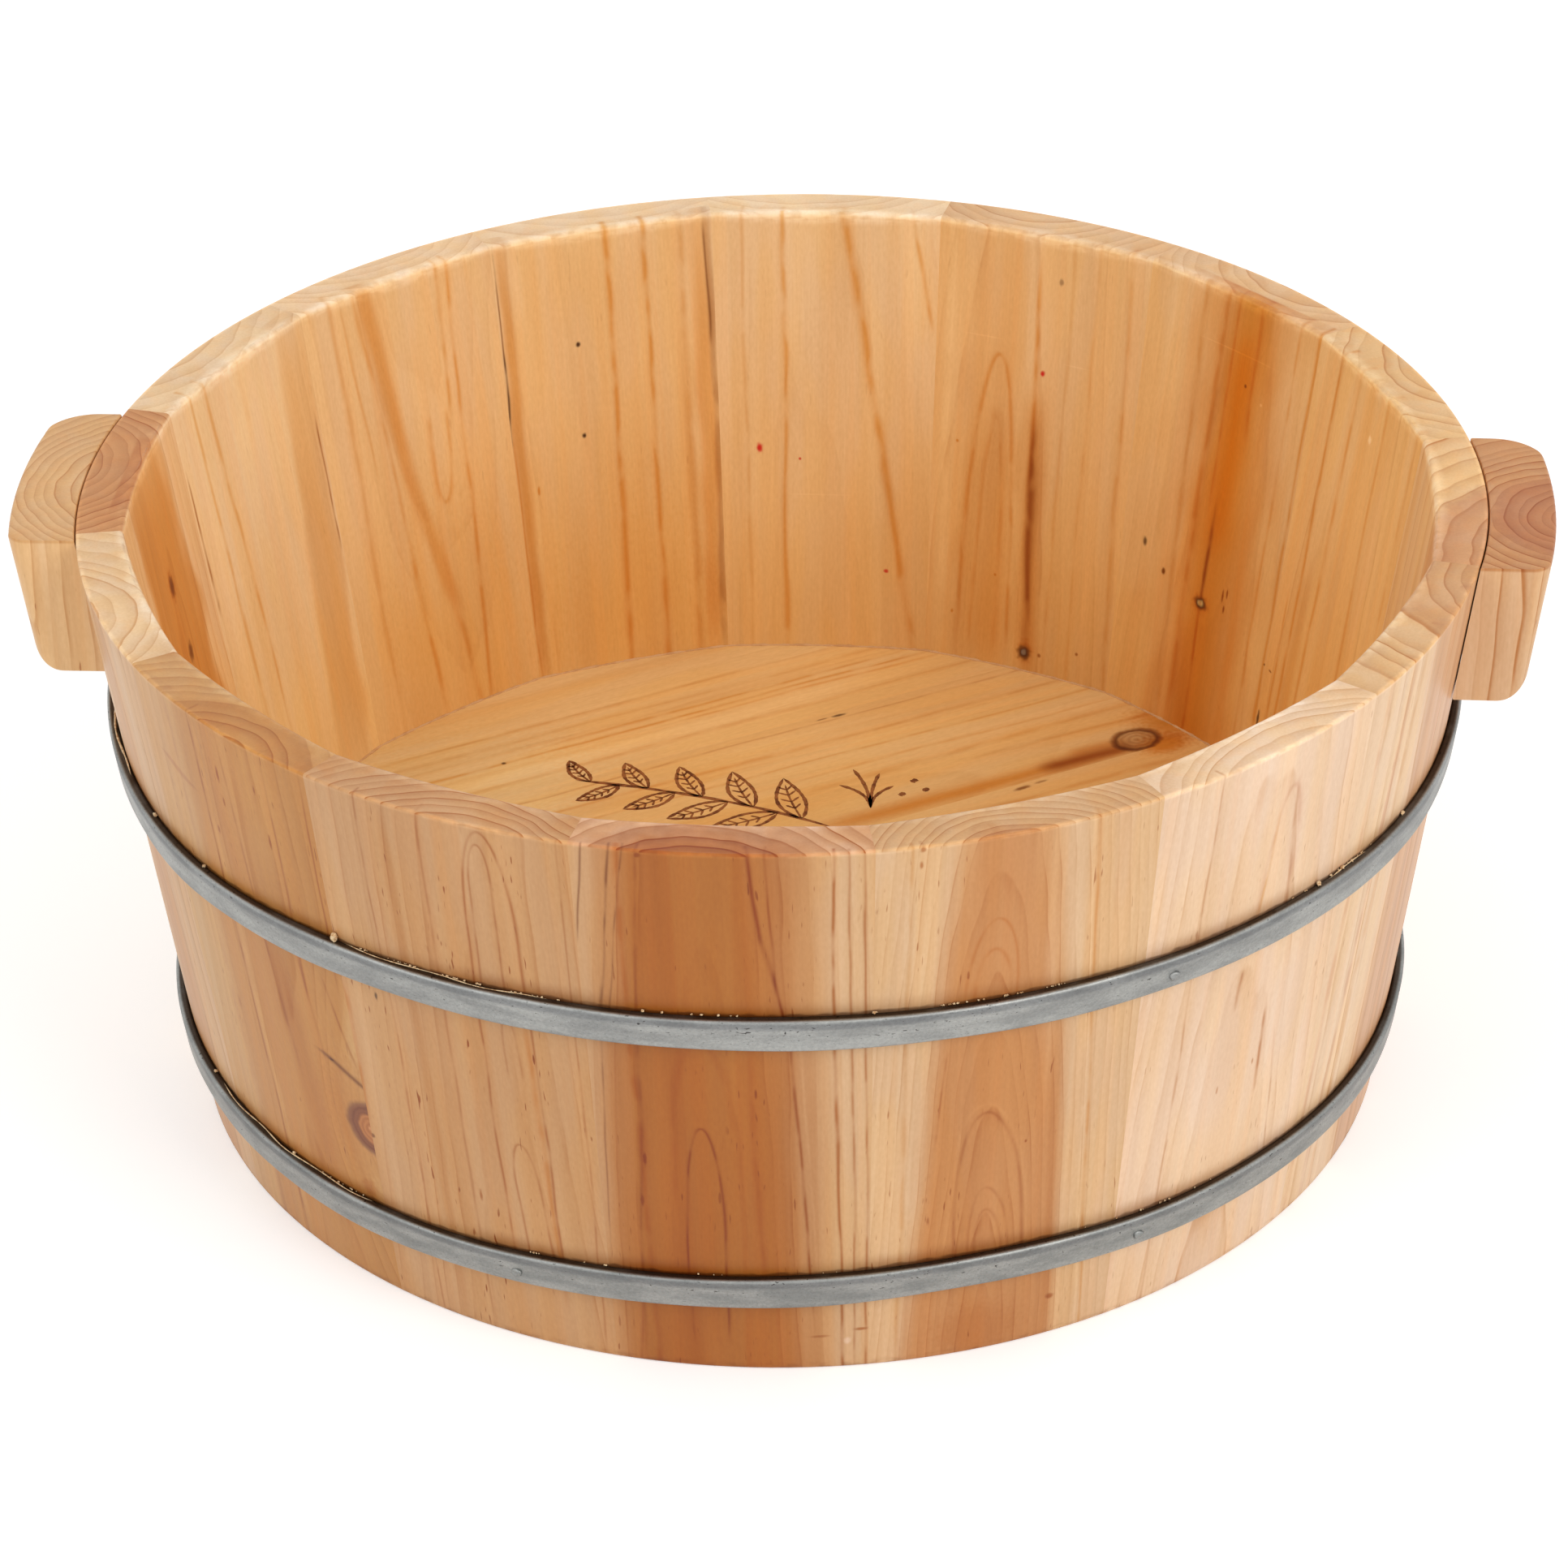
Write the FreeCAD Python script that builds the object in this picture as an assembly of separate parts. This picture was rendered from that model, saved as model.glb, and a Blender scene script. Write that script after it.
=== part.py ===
import FreeCAD, Part
import math
import os

# Staved wooden foot bath. Millimetres and degrees.
# The tub stands on z = 0 with its axis on Z. Azimuth 0 is the front, on -Y, and grows towards +X.

# Tub wall
tub_height = 180.0
rim_radius = 200.0  # outside, at the top
base_radius = 176.3  # outside, at the bottom
rim_wall = 15.0  # thickness at the middle of a stave, at the top
base_wall = 18.0  # the same at the bottom
stave_count = 16
first_joint_azimuth = 6.3
inner_face_offset = 150.0  # how far behind the tub's axis a stave's inner face is centred
outer_arris = 0.6
inner_arris = 1.6
foot_arris = 1.0

# Bottom, edge-glued boards in a groove of the staves
floor_top = 35.0
floor_thickness = 14.0
tongue_thickness = 8.0
croze_depth = 5.0
croze_clearance = 0.3
croze_headroom = 0.1
grain_azimuth = 116.0  # the boards run along this azimuth
board_count = 5

# Hoops, flat galvanised bar with rounded corners
hoop_thickness = 3.0
hoop_depth = 10.0
hoop_rounding = 0.9
hoop_clearance = 0.05
upper_hoop_drop = 17.7  # from the underside of the handles to the middle of the hoop
upper_hoop_front_lift = 1.4
upper_hoop_right_lift = -0.7
lower_hoop_height = 26.8
lower_hoop_front_lift = 3.4
lower_hoop_right_lift = 0.8

# Nails that keep the hoops from slipping
upper_nail_azimuths = (31.1, 151.1, -88.9)
lower_nail_azimuths = (-24.5, 30.8, 155.5, -149.2)
nail_length = 12.0
nail_shank_radius = 0.7
nail_head_radius = 1.4
nail_head_thickness = 0.8
nail_head_rounding = 0.5
nail_clearance = 0.03

# Pins between the staves
pin_radius = 2.0
pin_length = 24.0
pin_depth_in_wall = 7.5  # from the outer face
upper_pin_drop = 35.0  # below the rim
lower_pin_rise = 35.0  # above the bottom

# Handles, one block glued and dowelled to each side
right_handle_azimuth = 84.75
left_handle_azimuth = -93.8
handle_width = 78.5
handle_height = 42.0
handle_reach = 19.0
handle_gap = 0.4
handle_back_rounding = 15.0
handle_front_rounding = 6.0
handle_bottom_rounding = 8.0
handle_arris = 1.0
outline_spare = 0.05  # keeps the outline's arc just outside the outer face

# Dowels of the handles and of the bottom
handle_dowel_radius = 4.0
handle_dowel_length = 22.0
handle_dowel_spacing = 36.0
board_dowel_radius = 3.0
board_dowel_length = 32.0
board_dowel_spacing = 85.0
board_dowels_per_joint = 3
dowel_clearance = 0.05
dowel_end_gap = 0.4

# Derived values
stave_angle = 360.0 / stave_count
wall_lean = (rim_radius - base_radius) / tub_height
handle_azimuths = {"right": right_handle_azimuth, "left": left_handle_azimuth}
upper_hoop_height = tub_height - handle_height - upper_hoop_drop
upper_pin_height = tub_height - upper_pin_drop
lower_pin_height = floor_top + lower_pin_rise
overshoot = 5.0  # how far a cutting tool passes the faces that it cuts
tolerance = 0.01  # for telling edges apart
up = FreeCAD.Vector(0, 0, 1)
origin = FreeCAD.Vector(0, 0, 0)


def outer_radius(z):
    return base_radius + wall_lean * z


def inner_radius(z):
    """Inner radius of the wall at the middle of a stave."""
    base = base_radius - base_wall
    rim = rim_radius - rim_wall
    return base + (rim - base) * z / tub_height


def outward(azimuth):
    angle = math.radians(azimuth)
    return FreeCAD.Vector(math.sin(angle), -math.cos(angle), 0)


def sideways(azimuth):
    """Horizontal direction of growing azimuth."""
    angle = math.radians(azimuth)
    return FreeCAD.Vector(math.cos(angle), math.sin(angle), 0)


def turned(shape, azimuth):
    """A shape modelled about +X, turned to an azimuth."""
    copy = shape.copy()
    copy.rotate(origin, up, azimuth - 90.0)
    return copy


def angle_between(azimuth_a, azimuth_b):
    return abs((azimuth_a - azimuth_b + 180.0) % 360.0 - 180.0)


def rod(start, direction, length, radius):
    return Part.makeCylinder(radius, length, start, direction)


def rod_about(centre, direction, length, radius):
    return rod(centre - direction * (length / 2), direction, length, radius)


def rounded_wire(points, radii):
    """Closed polygon whose corners are tangent arcs of the given radii, 0 for a sharp one."""
    starts = []
    arcs = []
    ends = []
    for i, corner in enumerate(points):
        before = (points[i - 1] - corner).normalize()
        after = (points[(i + 1) % len(points)] - corner).normalize()
        if radii[i] == 0:
            starts.append(corner)
            arcs.append(None)
            ends.append(corner)
            continue
        half = before.getAngle(after) / 2
        run = radii[i] / math.tan(half)
        bisector = (before + after).normalize()
        middle = corner + bisector * (radii[i] / math.sin(half) - radii[i])
        starts.append(corner + before * run)
        ends.append(corner + after * run)
        arcs.append(Part.Arc(starts[i], middle, ends[i]).toShape())
    edges = []
    for i in range(len(points)):
        if arcs[i] is not None:
            edges.append(arcs[i])
        edges.append(Part.LineSegment(ends[i], starts[(i + 1) % len(points)]).toShape())
    return Part.Wire(edges)


def section_face(corners, radii):
    """Face in the XZ plane from (radius, height) corners."""
    points = [FreeCAD.Vector(r, 0, z) for r, z in corners]
    return Part.Face(rounded_wire(points, radii))


def swept(face, angle):
    """A section turned about Z through an angle centred on +X."""
    start = face.copy()
    start.rotate(origin, up, -angle / 2)
    return start.revolve(origin, up, angle)


# Bottom panel

tongue_low = floor_top - tongue_thickness
floor_low = floor_top - floor_thickness
croze_radius = inner_radius(floor_top - tongue_thickness / 2) + croze_depth
disc_radius = croze_radius - croze_clearance
panel_radius = inner_radius(floor_low) - croze_clearance
along_grain = outward(grain_azimuth)
across_grain = sideways(grain_azimuth)


def board_joints():
    """Places of the joints across the grain, for boards of one width."""
    board_width = 2 * disc_radius / board_count
    return [i * board_width - disc_radius for i in range(1, board_count)]


def board_dowel_rods(radius, length):
    middle = floor_top - floor_thickness / 2
    rods = []
    for joint in board_joints():
        for i in range(board_dowels_per_joint):
            run = (i - (board_dowels_per_joint - 1) / 2) * board_dowel_spacing
            centre = along_grain * run + across_grain * joint + up * middle
            rods.append(rod_about(centre, across_grain, length, radius))
    return rods


def make_boards():
    """Disc with a tongue round its upper part, cut into boards along the grain."""
    disc = rod(up * tongue_low, up, tongue_thickness, disc_radius)
    panel = disc.fuse(rod(up * floor_low, up, floor_thickness, panel_radius)).removeSplitter()
    holes = board_dowel_rods(board_dowel_radius + dowel_clearance, board_dowel_length + 2 * dowel_end_gap)
    panel = panel.cut(holes)
    edges = [-rim_radius] + board_joints() + [rim_radius]
    boards = []
    for low, high in zip(edges, edges[1:]):
        strip = Part.makeBox(high - low, 2 * rim_radius, tub_height)
        strip.translate(FreeCAD.Vector(low, -rim_radius, 0))
        turn = math.degrees(math.atan2(across_grain.y, across_grain.x))
        strip.rotate(origin, up, turn)
        boards.append(panel.common(strip))
    return boards


# Hoops

class Hoop:
    """A band on the wall between two planes that its lifts tilt a little."""

    def __init__(self, height, front_lift, right_lift):
        self.height = height
        self.front_lift = front_lift
        self.right_lift = right_lift
        self.radius = outer_radius(height)

    def height_at(self, azimuth):
        angle = math.radians(azimuth)
        return self.height + self.front_lift * math.cos(angle) + self.right_lift * math.sin(angle)

    def normal(self):
        tilt = FreeCAD.Vector(-self.right_lift / self.radius, self.front_lift / self.radius, 1)
        return tilt.normalize()

    def solid(self):
        inside = hoop_clearance
        outside = inside + hoop_thickness
        outer = Part.makeCone(base_radius + outside, rim_radius + outside, tub_height)
        inner = Part.makeCone(base_radius + inside, rim_radius + inside, tub_height)
        reach = max(base_radius, rim_radius) + outside + overshoot
        slab = rod_about(up * self.height, self.normal(), hoop_depth, reach)
        band = outer.cut(inner).common(slab)
        corners = [edge for edge in band.Edges if not isinstance(edge.Curve, Part.Line)]
        return band.makeFillet(hoop_rounding, corners)


upper_hoop = Hoop(upper_hoop_height, upper_hoop_front_lift, upper_hoop_right_lift)
lower_hoop = Hoop(lower_hoop_height, lower_hoop_front_lift, lower_hoop_right_lift)


def nail_seat(hoop, azimuth):
    """Point on the hoop's outer face and the wall's outward normal there."""
    z = hoop.height_at(azimuth)
    face = outer_radius(z) + hoop_clearance + hoop_thickness
    direction = (outward(azimuth) - up * wall_lean).normalize()
    return outward(azimuth) * face + up * z, direction


def make_nail(hoop, azimuth):
    seat, direction = nail_seat(hoop, azimuth)
    seat = seat + direction * nail_clearance
    head = rod(seat, direction, nail_head_thickness, nail_head_radius)
    crown = seat + direction * nail_head_thickness
    rim = [edge for edge in head.Edges if edge.CenterOfMass.isEqual(crown, tolerance)]
    head = head.makeFillet(nail_head_rounding, rim)
    return head.fuse(rod(seat, direction * -1, nail_length, nail_shank_radius)).removeSplitter()


def nail_hole(hoop, azimuth):
    seat, direction = nail_seat(hoop, azimuth)
    start = seat + direction * overshoot
    return rod(start, direction * -1, overshoot + nail_length, nail_shank_radius + nail_clearance)


# Pins between the staves, and dowels of the handles

joint_azimuths = [first_joint_azimuth + i * stave_angle for i in range(stave_count)]
middle_azimuths = [azimuth + stave_angle / 2 for azimuth in joint_azimuths]


def stave_pin_rods(height, radius, length):
    rods = []
    for azimuth in joint_azimuths:
        centre = outward(azimuth) * (outer_radius(height) - pin_depth_in_wall) + up * height
        rods.append((azimuth, rod_about(centre, sideways(azimuth), length, radius)))
    return rods


def handle_dowel_rods(azimuth, radius, length):
    height = tub_height - handle_height / 2
    rods = []
    middle = outward(azimuth) * outer_radius(height) + up * height
    for side in (-1, 1):
        centre = middle + sideways(azimuth) * (side * handle_dowel_spacing / 2)
        rods.append(rod_about(centre, outward(azimuth), length, radius))
    return rods


# Staves

def make_stave_blank():
    """One stave about +X: conical outside, a flatter inside, and a groove for the bottom."""
    corners = [
        (inner_radius(0) - overshoot, 0),
        (base_radius, 0),
        (rim_radius, tub_height),
        (inner_radius(tub_height) - overshoot, tub_height),
    ]
    blank = swept(section_face(corners, [0, foot_arris, outer_arris, 0]), stave_angle)
    hollow_low = -overshoot
    hollow_high = tub_height + overshoot
    hollow = Part.makeCone(
        inner_radius(hollow_low) + inner_face_offset,
        inner_radius(hollow_high) + inner_face_offset,
        hollow_high - hollow_low,
        FreeCAD.Vector(-inner_face_offset, 0, hollow_low),
    )
    blank = blank.cut(hollow)
    for height, rounding in ((tub_height, inner_arris), (0, foot_arris)):
        blank = blank.makeFillet(rounding, [inner_edge(blank, height)])
    groove = rod(up * tongue_low, up, tongue_thickness + croze_headroom, croze_radius)
    return blank.cut(groove)


def inner_edge(stave, height):
    """The stave's innermost curved edge at a height."""
    level = [
        edge for edge in stave.Edges
        if not isinstance(edge.Curve, Part.Line)
        and abs(edge.BoundBox.ZMin - height) < tolerance
        and abs(edge.BoundBox.ZMax - height) < tolerance
    ]
    return min(level, key=lambda edge: edge.CenterOfMass.x)


def make_staves():
    blank = make_stave_blank()
    hole = pin_length + 2 * dowel_end_gap
    drills = stave_pin_rods(upper_pin_height, pin_radius + dowel_clearance, hole)
    drills += stave_pin_rods(lower_pin_height, pin_radius + dowel_clearance, hole)
    for hoop, azimuths in ((upper_hoop, upper_nail_azimuths), (lower_hoop, lower_nail_azimuths)):
        drills += [(azimuth, nail_hole(hoop, azimuth)) for azimuth in azimuths]
    for azimuth in handle_azimuths.values():
        hole = handle_dowel_length + 2 * dowel_end_gap
        for drill in handle_dowel_rods(azimuth, handle_dowel_radius + dowel_clearance, hole):
            drills.append((azimuth, drill))
    staves = []
    for middle in middle_azimuths:
        near = [drill for azimuth, drill in drills if angle_between(azimuth, middle) < stave_angle]
        staves.append(turned(blank, middle).cut(near))
    return staves


# Handles

def handle_outline():
    """Plan of a handle about +X at the rim: straight ends, an outer arc and two rounded corners."""
    reach = rim_radius + handle_reach + outline_spare
    half = handle_width / 2
    inside = rim_radius - handle_reach
    runs = []
    for side, rounding in ((-1, handle_front_rounding), (1, handle_back_rounding)):
        y = side * (half - rounding)
        centre = FreeCAD.Vector(math.sqrt((reach - rounding) ** 2 - y ** 2), y, 0)
        on_end = FreeCAD.Vector(centre.x, side * half, 0)
        on_arc = centre * (reach / (reach - rounding))
        diagonal = ((on_end - centre) + (on_arc - centre)).normalize()
        runs.append((on_end, centre + diagonal * rounding, on_arc))
    front, back = runs
    front_inside = FreeCAD.Vector(inside, -half, 0)
    back_inside = FreeCAD.Vector(inside, half, 0)
    edges = [
        Part.LineSegment(front_inside, front[0]),
        Part.Arc(*front),
        Part.Arc(front[2], FreeCAD.Vector(reach, 0, 0), back[2]),
        Part.Arc(back[2], back[1], back[0]),
        Part.LineSegment(back[0], back_inside),
        Part.LineSegment(back_inside, front_inside),
    ]
    return Part.Face(Part.Wire([edge.toShape() for edge in edges]))


def make_handle(azimuth):
    """A block that follows the wall's lean, with its lower outer edge rounded over."""
    low = tub_height - handle_height
    corners = [
        (outer_radius(low) + handle_gap, low),
        (outer_radius(low) + handle_reach, low),
        (outer_radius(tub_height) + handle_reach, tub_height),
        (outer_radius(tub_height) + handle_gap, tub_height),
    ]
    radii = [handle_arris / 2, handle_bottom_rounding, handle_arris, handle_arris / 2]
    body = swept(section_face(corners, radii), 2 * stave_angle)
    outline = handle_outline()
    outline.translate(FreeCAD.Vector(wall_lean * overshoot, 0, tub_height + overshoot))
    drop = handle_height + 2 * overshoot
    block = outline.extrude(FreeCAD.Vector(-wall_lean * drop, 0, -drop))
    # The rounder corner is at the back on both sides, so the left handle is the right one mirrored.
    handle = body.common(block)
    if outward(azimuth).x < 0:
        handle = handle.mirror(origin, FreeCAD.Vector(0, 1, 0))
    hole = handle_dowel_length + 2 * dowel_end_gap
    holes = handle_dowel_rods(azimuth, handle_dowel_radius + dowel_clearance, hole)
    return turned(handle, azimuth).cut(holes)


# All nodes

def make_nodes():
    nodes = {}
    for number, stave in enumerate(make_staves(), 1):
        nodes[f"stave_{number:02d}"] = stave
    for number, board in enumerate(make_boards(), 1):
        nodes[f"bottom_board_{number}"] = board
    nodes["bottom_board_dowels"] = board_dowel_rods(board_dowel_radius, board_dowel_length)
    for name, hoop, azimuths in (
        ("upper_hoop", upper_hoop, upper_nail_azimuths),
        ("lower_hoop", lower_hoop, lower_nail_azimuths),
    ):
        nodes[name] = hoop.solid().cut([nail_hole(hoop, azimuth) for azimuth in azimuths])
        nodes[f"{name}_nails"] = [make_nail(hoop, azimuth) for azimuth in azimuths]
    for name, height in (("upper", upper_pin_height), ("lower", lower_pin_height)):
        rods = stave_pin_rods(height, pin_radius, pin_length)
        nodes[f"{name}_stave_pins"] = [pin for azimuth, pin in rods]
    for side, azimuth in handle_azimuths.items():
        nodes[f"{side}_handle"] = make_handle(azimuth)
        dowels = handle_dowel_rods(azimuth, handle_dowel_radius, handle_dowel_length)
        nodes[f"{side}_handle_dowels"] = dowels
    return nodes


os.makedirs("parts", exist_ok=True)
for name, content in make_nodes().items():
    shape = Part.makeCompound(content) if isinstance(content, list) else content
    shape.exportStep(f"parts/{name}.step")
    print(name, len(shape.Solids), "solids", round(shape.Volume / 1000, 2), "cm3", shape.isValid())
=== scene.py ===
import inspect
import math

import bpy
import numpy as np
from mathutils import Matrix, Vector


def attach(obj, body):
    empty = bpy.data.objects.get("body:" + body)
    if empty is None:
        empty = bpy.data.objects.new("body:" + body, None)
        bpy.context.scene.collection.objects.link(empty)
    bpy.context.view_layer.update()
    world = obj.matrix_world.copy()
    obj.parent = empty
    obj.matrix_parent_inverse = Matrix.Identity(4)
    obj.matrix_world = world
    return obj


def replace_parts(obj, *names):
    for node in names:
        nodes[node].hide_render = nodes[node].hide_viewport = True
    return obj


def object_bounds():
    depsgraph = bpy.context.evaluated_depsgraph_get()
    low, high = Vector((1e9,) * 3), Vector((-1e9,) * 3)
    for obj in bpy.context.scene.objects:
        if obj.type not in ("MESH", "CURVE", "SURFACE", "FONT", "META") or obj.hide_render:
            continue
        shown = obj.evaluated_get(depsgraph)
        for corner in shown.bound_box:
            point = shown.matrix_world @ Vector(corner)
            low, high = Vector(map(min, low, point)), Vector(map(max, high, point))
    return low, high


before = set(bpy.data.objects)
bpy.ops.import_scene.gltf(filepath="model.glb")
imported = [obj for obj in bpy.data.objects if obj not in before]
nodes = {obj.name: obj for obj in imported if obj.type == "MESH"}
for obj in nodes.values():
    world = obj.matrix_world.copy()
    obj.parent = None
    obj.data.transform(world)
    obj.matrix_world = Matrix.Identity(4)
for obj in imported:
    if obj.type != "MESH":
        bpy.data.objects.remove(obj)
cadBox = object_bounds()
print("frame: %d nodes" % len(nodes))

# A wooden foot bath. Settings are in millimetres and degrees, meshes in metres.
# Azimuth 0 is the front, on -Y, and grows towards +X.

tub = {
    "height": 180.0,
    "rimRadius": 200.0,
    "baseRadius": 176.3,
    "rimWall": 15.0,
    "baseWall": 18.0,
    "floorTop": 35.0,
    "floorUnderside": 21.0,
    "staves": 16,
    "firstStave": 17.55,  # azimuth of the middle of stave_01
    "grainTurn": 26.0,  # the bottom's boards run this far anticlockwise from +X
    "boards": 5,
    "boardWidth": 67.04,
}
lean = math.atan((tub["rimRadius"] - tub["baseRadius"]) / tub["height"])
staveAngle = 360.0 / tub["staves"]
hidden = 1.0e6  # a size or a scale along an axis that shall not count


def outerRadius(height):
    return tub["baseRadius"] + (tub["rimRadius"] - tub["baseRadius"]) * height / tub["height"]


def innerRadius(height):
    wall = tub["baseWall"] + (tub["rimWall"] - tub["baseWall"]) * height / tub["height"]
    return outerRadius(height) - wall


def paint(red, green, blue):
    # a colour as read off the object, 0 to 255, turned into light
    values = np.array([red, green, blue]) / 255.0
    return tuple(np.where(values <= 0.04045, values / 12.92, ((values + 0.055) / 1.055) ** 2.4).tolist())


# Node helpers. Nodes go into the tree that is being built. A source is a Signal or a value.

building = {"tree": None}


class Signal:
    # a node's output, whose arithmetic makes further nodes
    def __init__(self, socket):
        self.socket = socket

    def __add__(self, other):
        return calc("ADD", self, other)

    def __sub__(self, other):
        return calc("SUBTRACT", self, other)

    def __rsub__(self, other):
        return calc("SUBTRACT", other, self)

    def __mul__(self, other):
        return calc("MULTIPLY", self, other)

    def __truediv__(self, other):
        return calc("DIVIDE", self, other)

    def times(self, factor, offset):
        return calc("MULTIPLY_ADD", self, factor, offset)


def join(socket, source):
    if isinstance(source, Signal):
        building["tree"].links.new(source.socket, socket)
    else:
        socket.default_value = (*source, 1.0) if socket.type == "RGBA" else source


def node(kind, inputs, **properties):
    made = building["tree"].nodes.new(kind)
    for name, value in properties.items():
        setattr(made, name, value)
    for name, source in inputs.items() if isinstance(inputs, dict) else enumerate(inputs):
        join(made.inputs[name], source)
    return made


def put(kind, inputs=(), output=0, **properties):
    return Signal(node(kind, inputs, **properties).outputs[output])


def calc(operation, *sources):
    return put("ShaderNodeMath", sources, operation=operation)


def vector(operation, *sources):
    output = "Value" if operation in ("LENGTH", "DOT_PRODUCT") else "Vector"
    return put("ShaderNodeVectorMath", sources, output, operation=operation)


def scaled(source, factor):
    return put("ShaderNodeVectorMath", {0: source, "Scale": factor}, operation="SCALE")


def split(source):
    return [Signal(part) for part in node("ShaderNodeSeparateXYZ", [source]).outputs]


def merge(*parts):
    return put("ShaderNodeCombineXYZ", parts)


def ramp(value, low, high, start=0.0, end=1.0):
    # smooth step of a value from low to high
    return put("ShaderNodeMapRange", (value, low, high, start, end), interpolation_type="SMOOTHSTEP")


def bell(value):
    # exp(-value^2)
    return calc("EXPONENT", value * (value * -1.0))


def noise(place, size, detail=0.0, roughness=0.5, seed=None):
    # noise of a place divided by a grain size for each axis, shifted by the seed
    spread = vector("DIVIDE", place, size)
    if seed is not None:
        spread = vector("ADD", spread, seed)
    return put("ShaderNodeTexNoise", {"Vector": spread, "Scale": 1.0, "Detail": detail,
                                      "Roughness": roughness})


def mixed(factor, first, second, how="MIX"):
    return put("ShaderNodeMix", {0: factor, 6: first, 7: second}, 2, data_type="RGBA", blend_type=how,
               clamp_factor=True)


def tinted(factor, colour, tint):
    return mixed(factor, colour, tint, "MULTIPLY")


kinds = {
    "Color": ("colour", "tint", "sapwood", "heartwood", "line"),
    "Vector": ("place", "source", "pith", "drift", "seed", "slant", "apex", "centre", "size", "upper",
               "lower"),
}


def grouped(*outputs):
    # turns a function into a node group: its arguments are the inputs, each of the kind that
    # kinds says or else a number, and what it returns are the outputs
    def addSocket(tree, name, way):
        kind = next((kind for kind, names in kinds.items() if name in names), "Float")
        tree.interface.new_socket(name, in_out=way, socket_type="NodeSocket" + kind)

    def wrap(build):
        tree = building["tree"] = bpy.data.node_groups.new(build.__name__, "ShaderNodeTree")
        names = list(inspect.signature(build).parameters)
        for name in names:
            addSocket(tree, name, "INPUT")
        for name in outputs:
            addSocket(tree, name, "OUTPUT")
        given = tree.nodes.new("NodeGroupInput").outputs
        results = build(*[Signal(given[name]) for name in names])
        target = tree.nodes.new("NodeGroupOutput").inputs
        for name, result in zip(outputs, results if len(outputs) > 1 else [results]):
            join(target[name], result)

        def use(**inputs):
            made = node("ShaderNodeGroup", {}, node_tree=tree)
            for name, source in inputs.items():
                join(made.inputs[name], source)
            signals = [Signal(made.outputs[name]) for name in outputs]
            return signals if len(signals) > 1 else signals[0]
        return use
    return wrap


def newMaterial(name):
    material = bpy.data.materials.new(name)
    material.use_nodes = True
    material.node_tree.nodes.clear()
    building["tree"] = material.node_tree
    return material


def objectPlace():
    return put("ShaderNodeTexCoord", (), "Object")


# Wood. A place in a piece is (across, depth, along) in millimetres: across its face,
# in from its outer face, and along its grain.
woodNoise = {
    # grain size, detail, roughness
    "slow": ((42.0, 42.0, 150.0), 1.0),  # bends the rings, as the next two do
    "quick": ((10.0, 10.0, 60.0),),
    "shaky": ((5.0, 5.0, 18.0),),
    "broken": ((2.6, 2.6, 24.0),),  # gaps in the dark lines
    "fibre": ((0.7, 0.7, 40.0), 1.0, 0.62),
    "bands": ((4.0, 4.0, 340.0), 1.0),
    "wide": ((9.0, 9.0, 400.0),),
    "blotch": ((26.0, 26.0, 65.0),),
    "mottle": ((0.7, 0.7, 1.8),),
    "soft": ((8.0, 8.0, 45.0),),
    "fleck": ((0.75, 0.75, 5.0),),
}
woodRings = {
    "slow": 6.0,  # how far these noises bend the rings, in mm
    "quick": 2.0,
    "shaky": 0.8,
    "uneven": 0.45,  # how quickly the spacing changes from ring to ring
    "dark": (0.80, 0.95),  # where in a ring its dark line begins and is full
    "drop": (0.955, 1.0),  # where it ends
    "cool": (0.99, 1.0, 1.05),  # tints of the soft patches, bands and flecks
    "warm": (1.01, 0.99, 0.94),
    "band": (1.0, 0.88, 0.74),
    "wide": (0.93, 0.80, 0.62),
    "fleck": (0.50, 0.25, 0.10),
}


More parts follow.
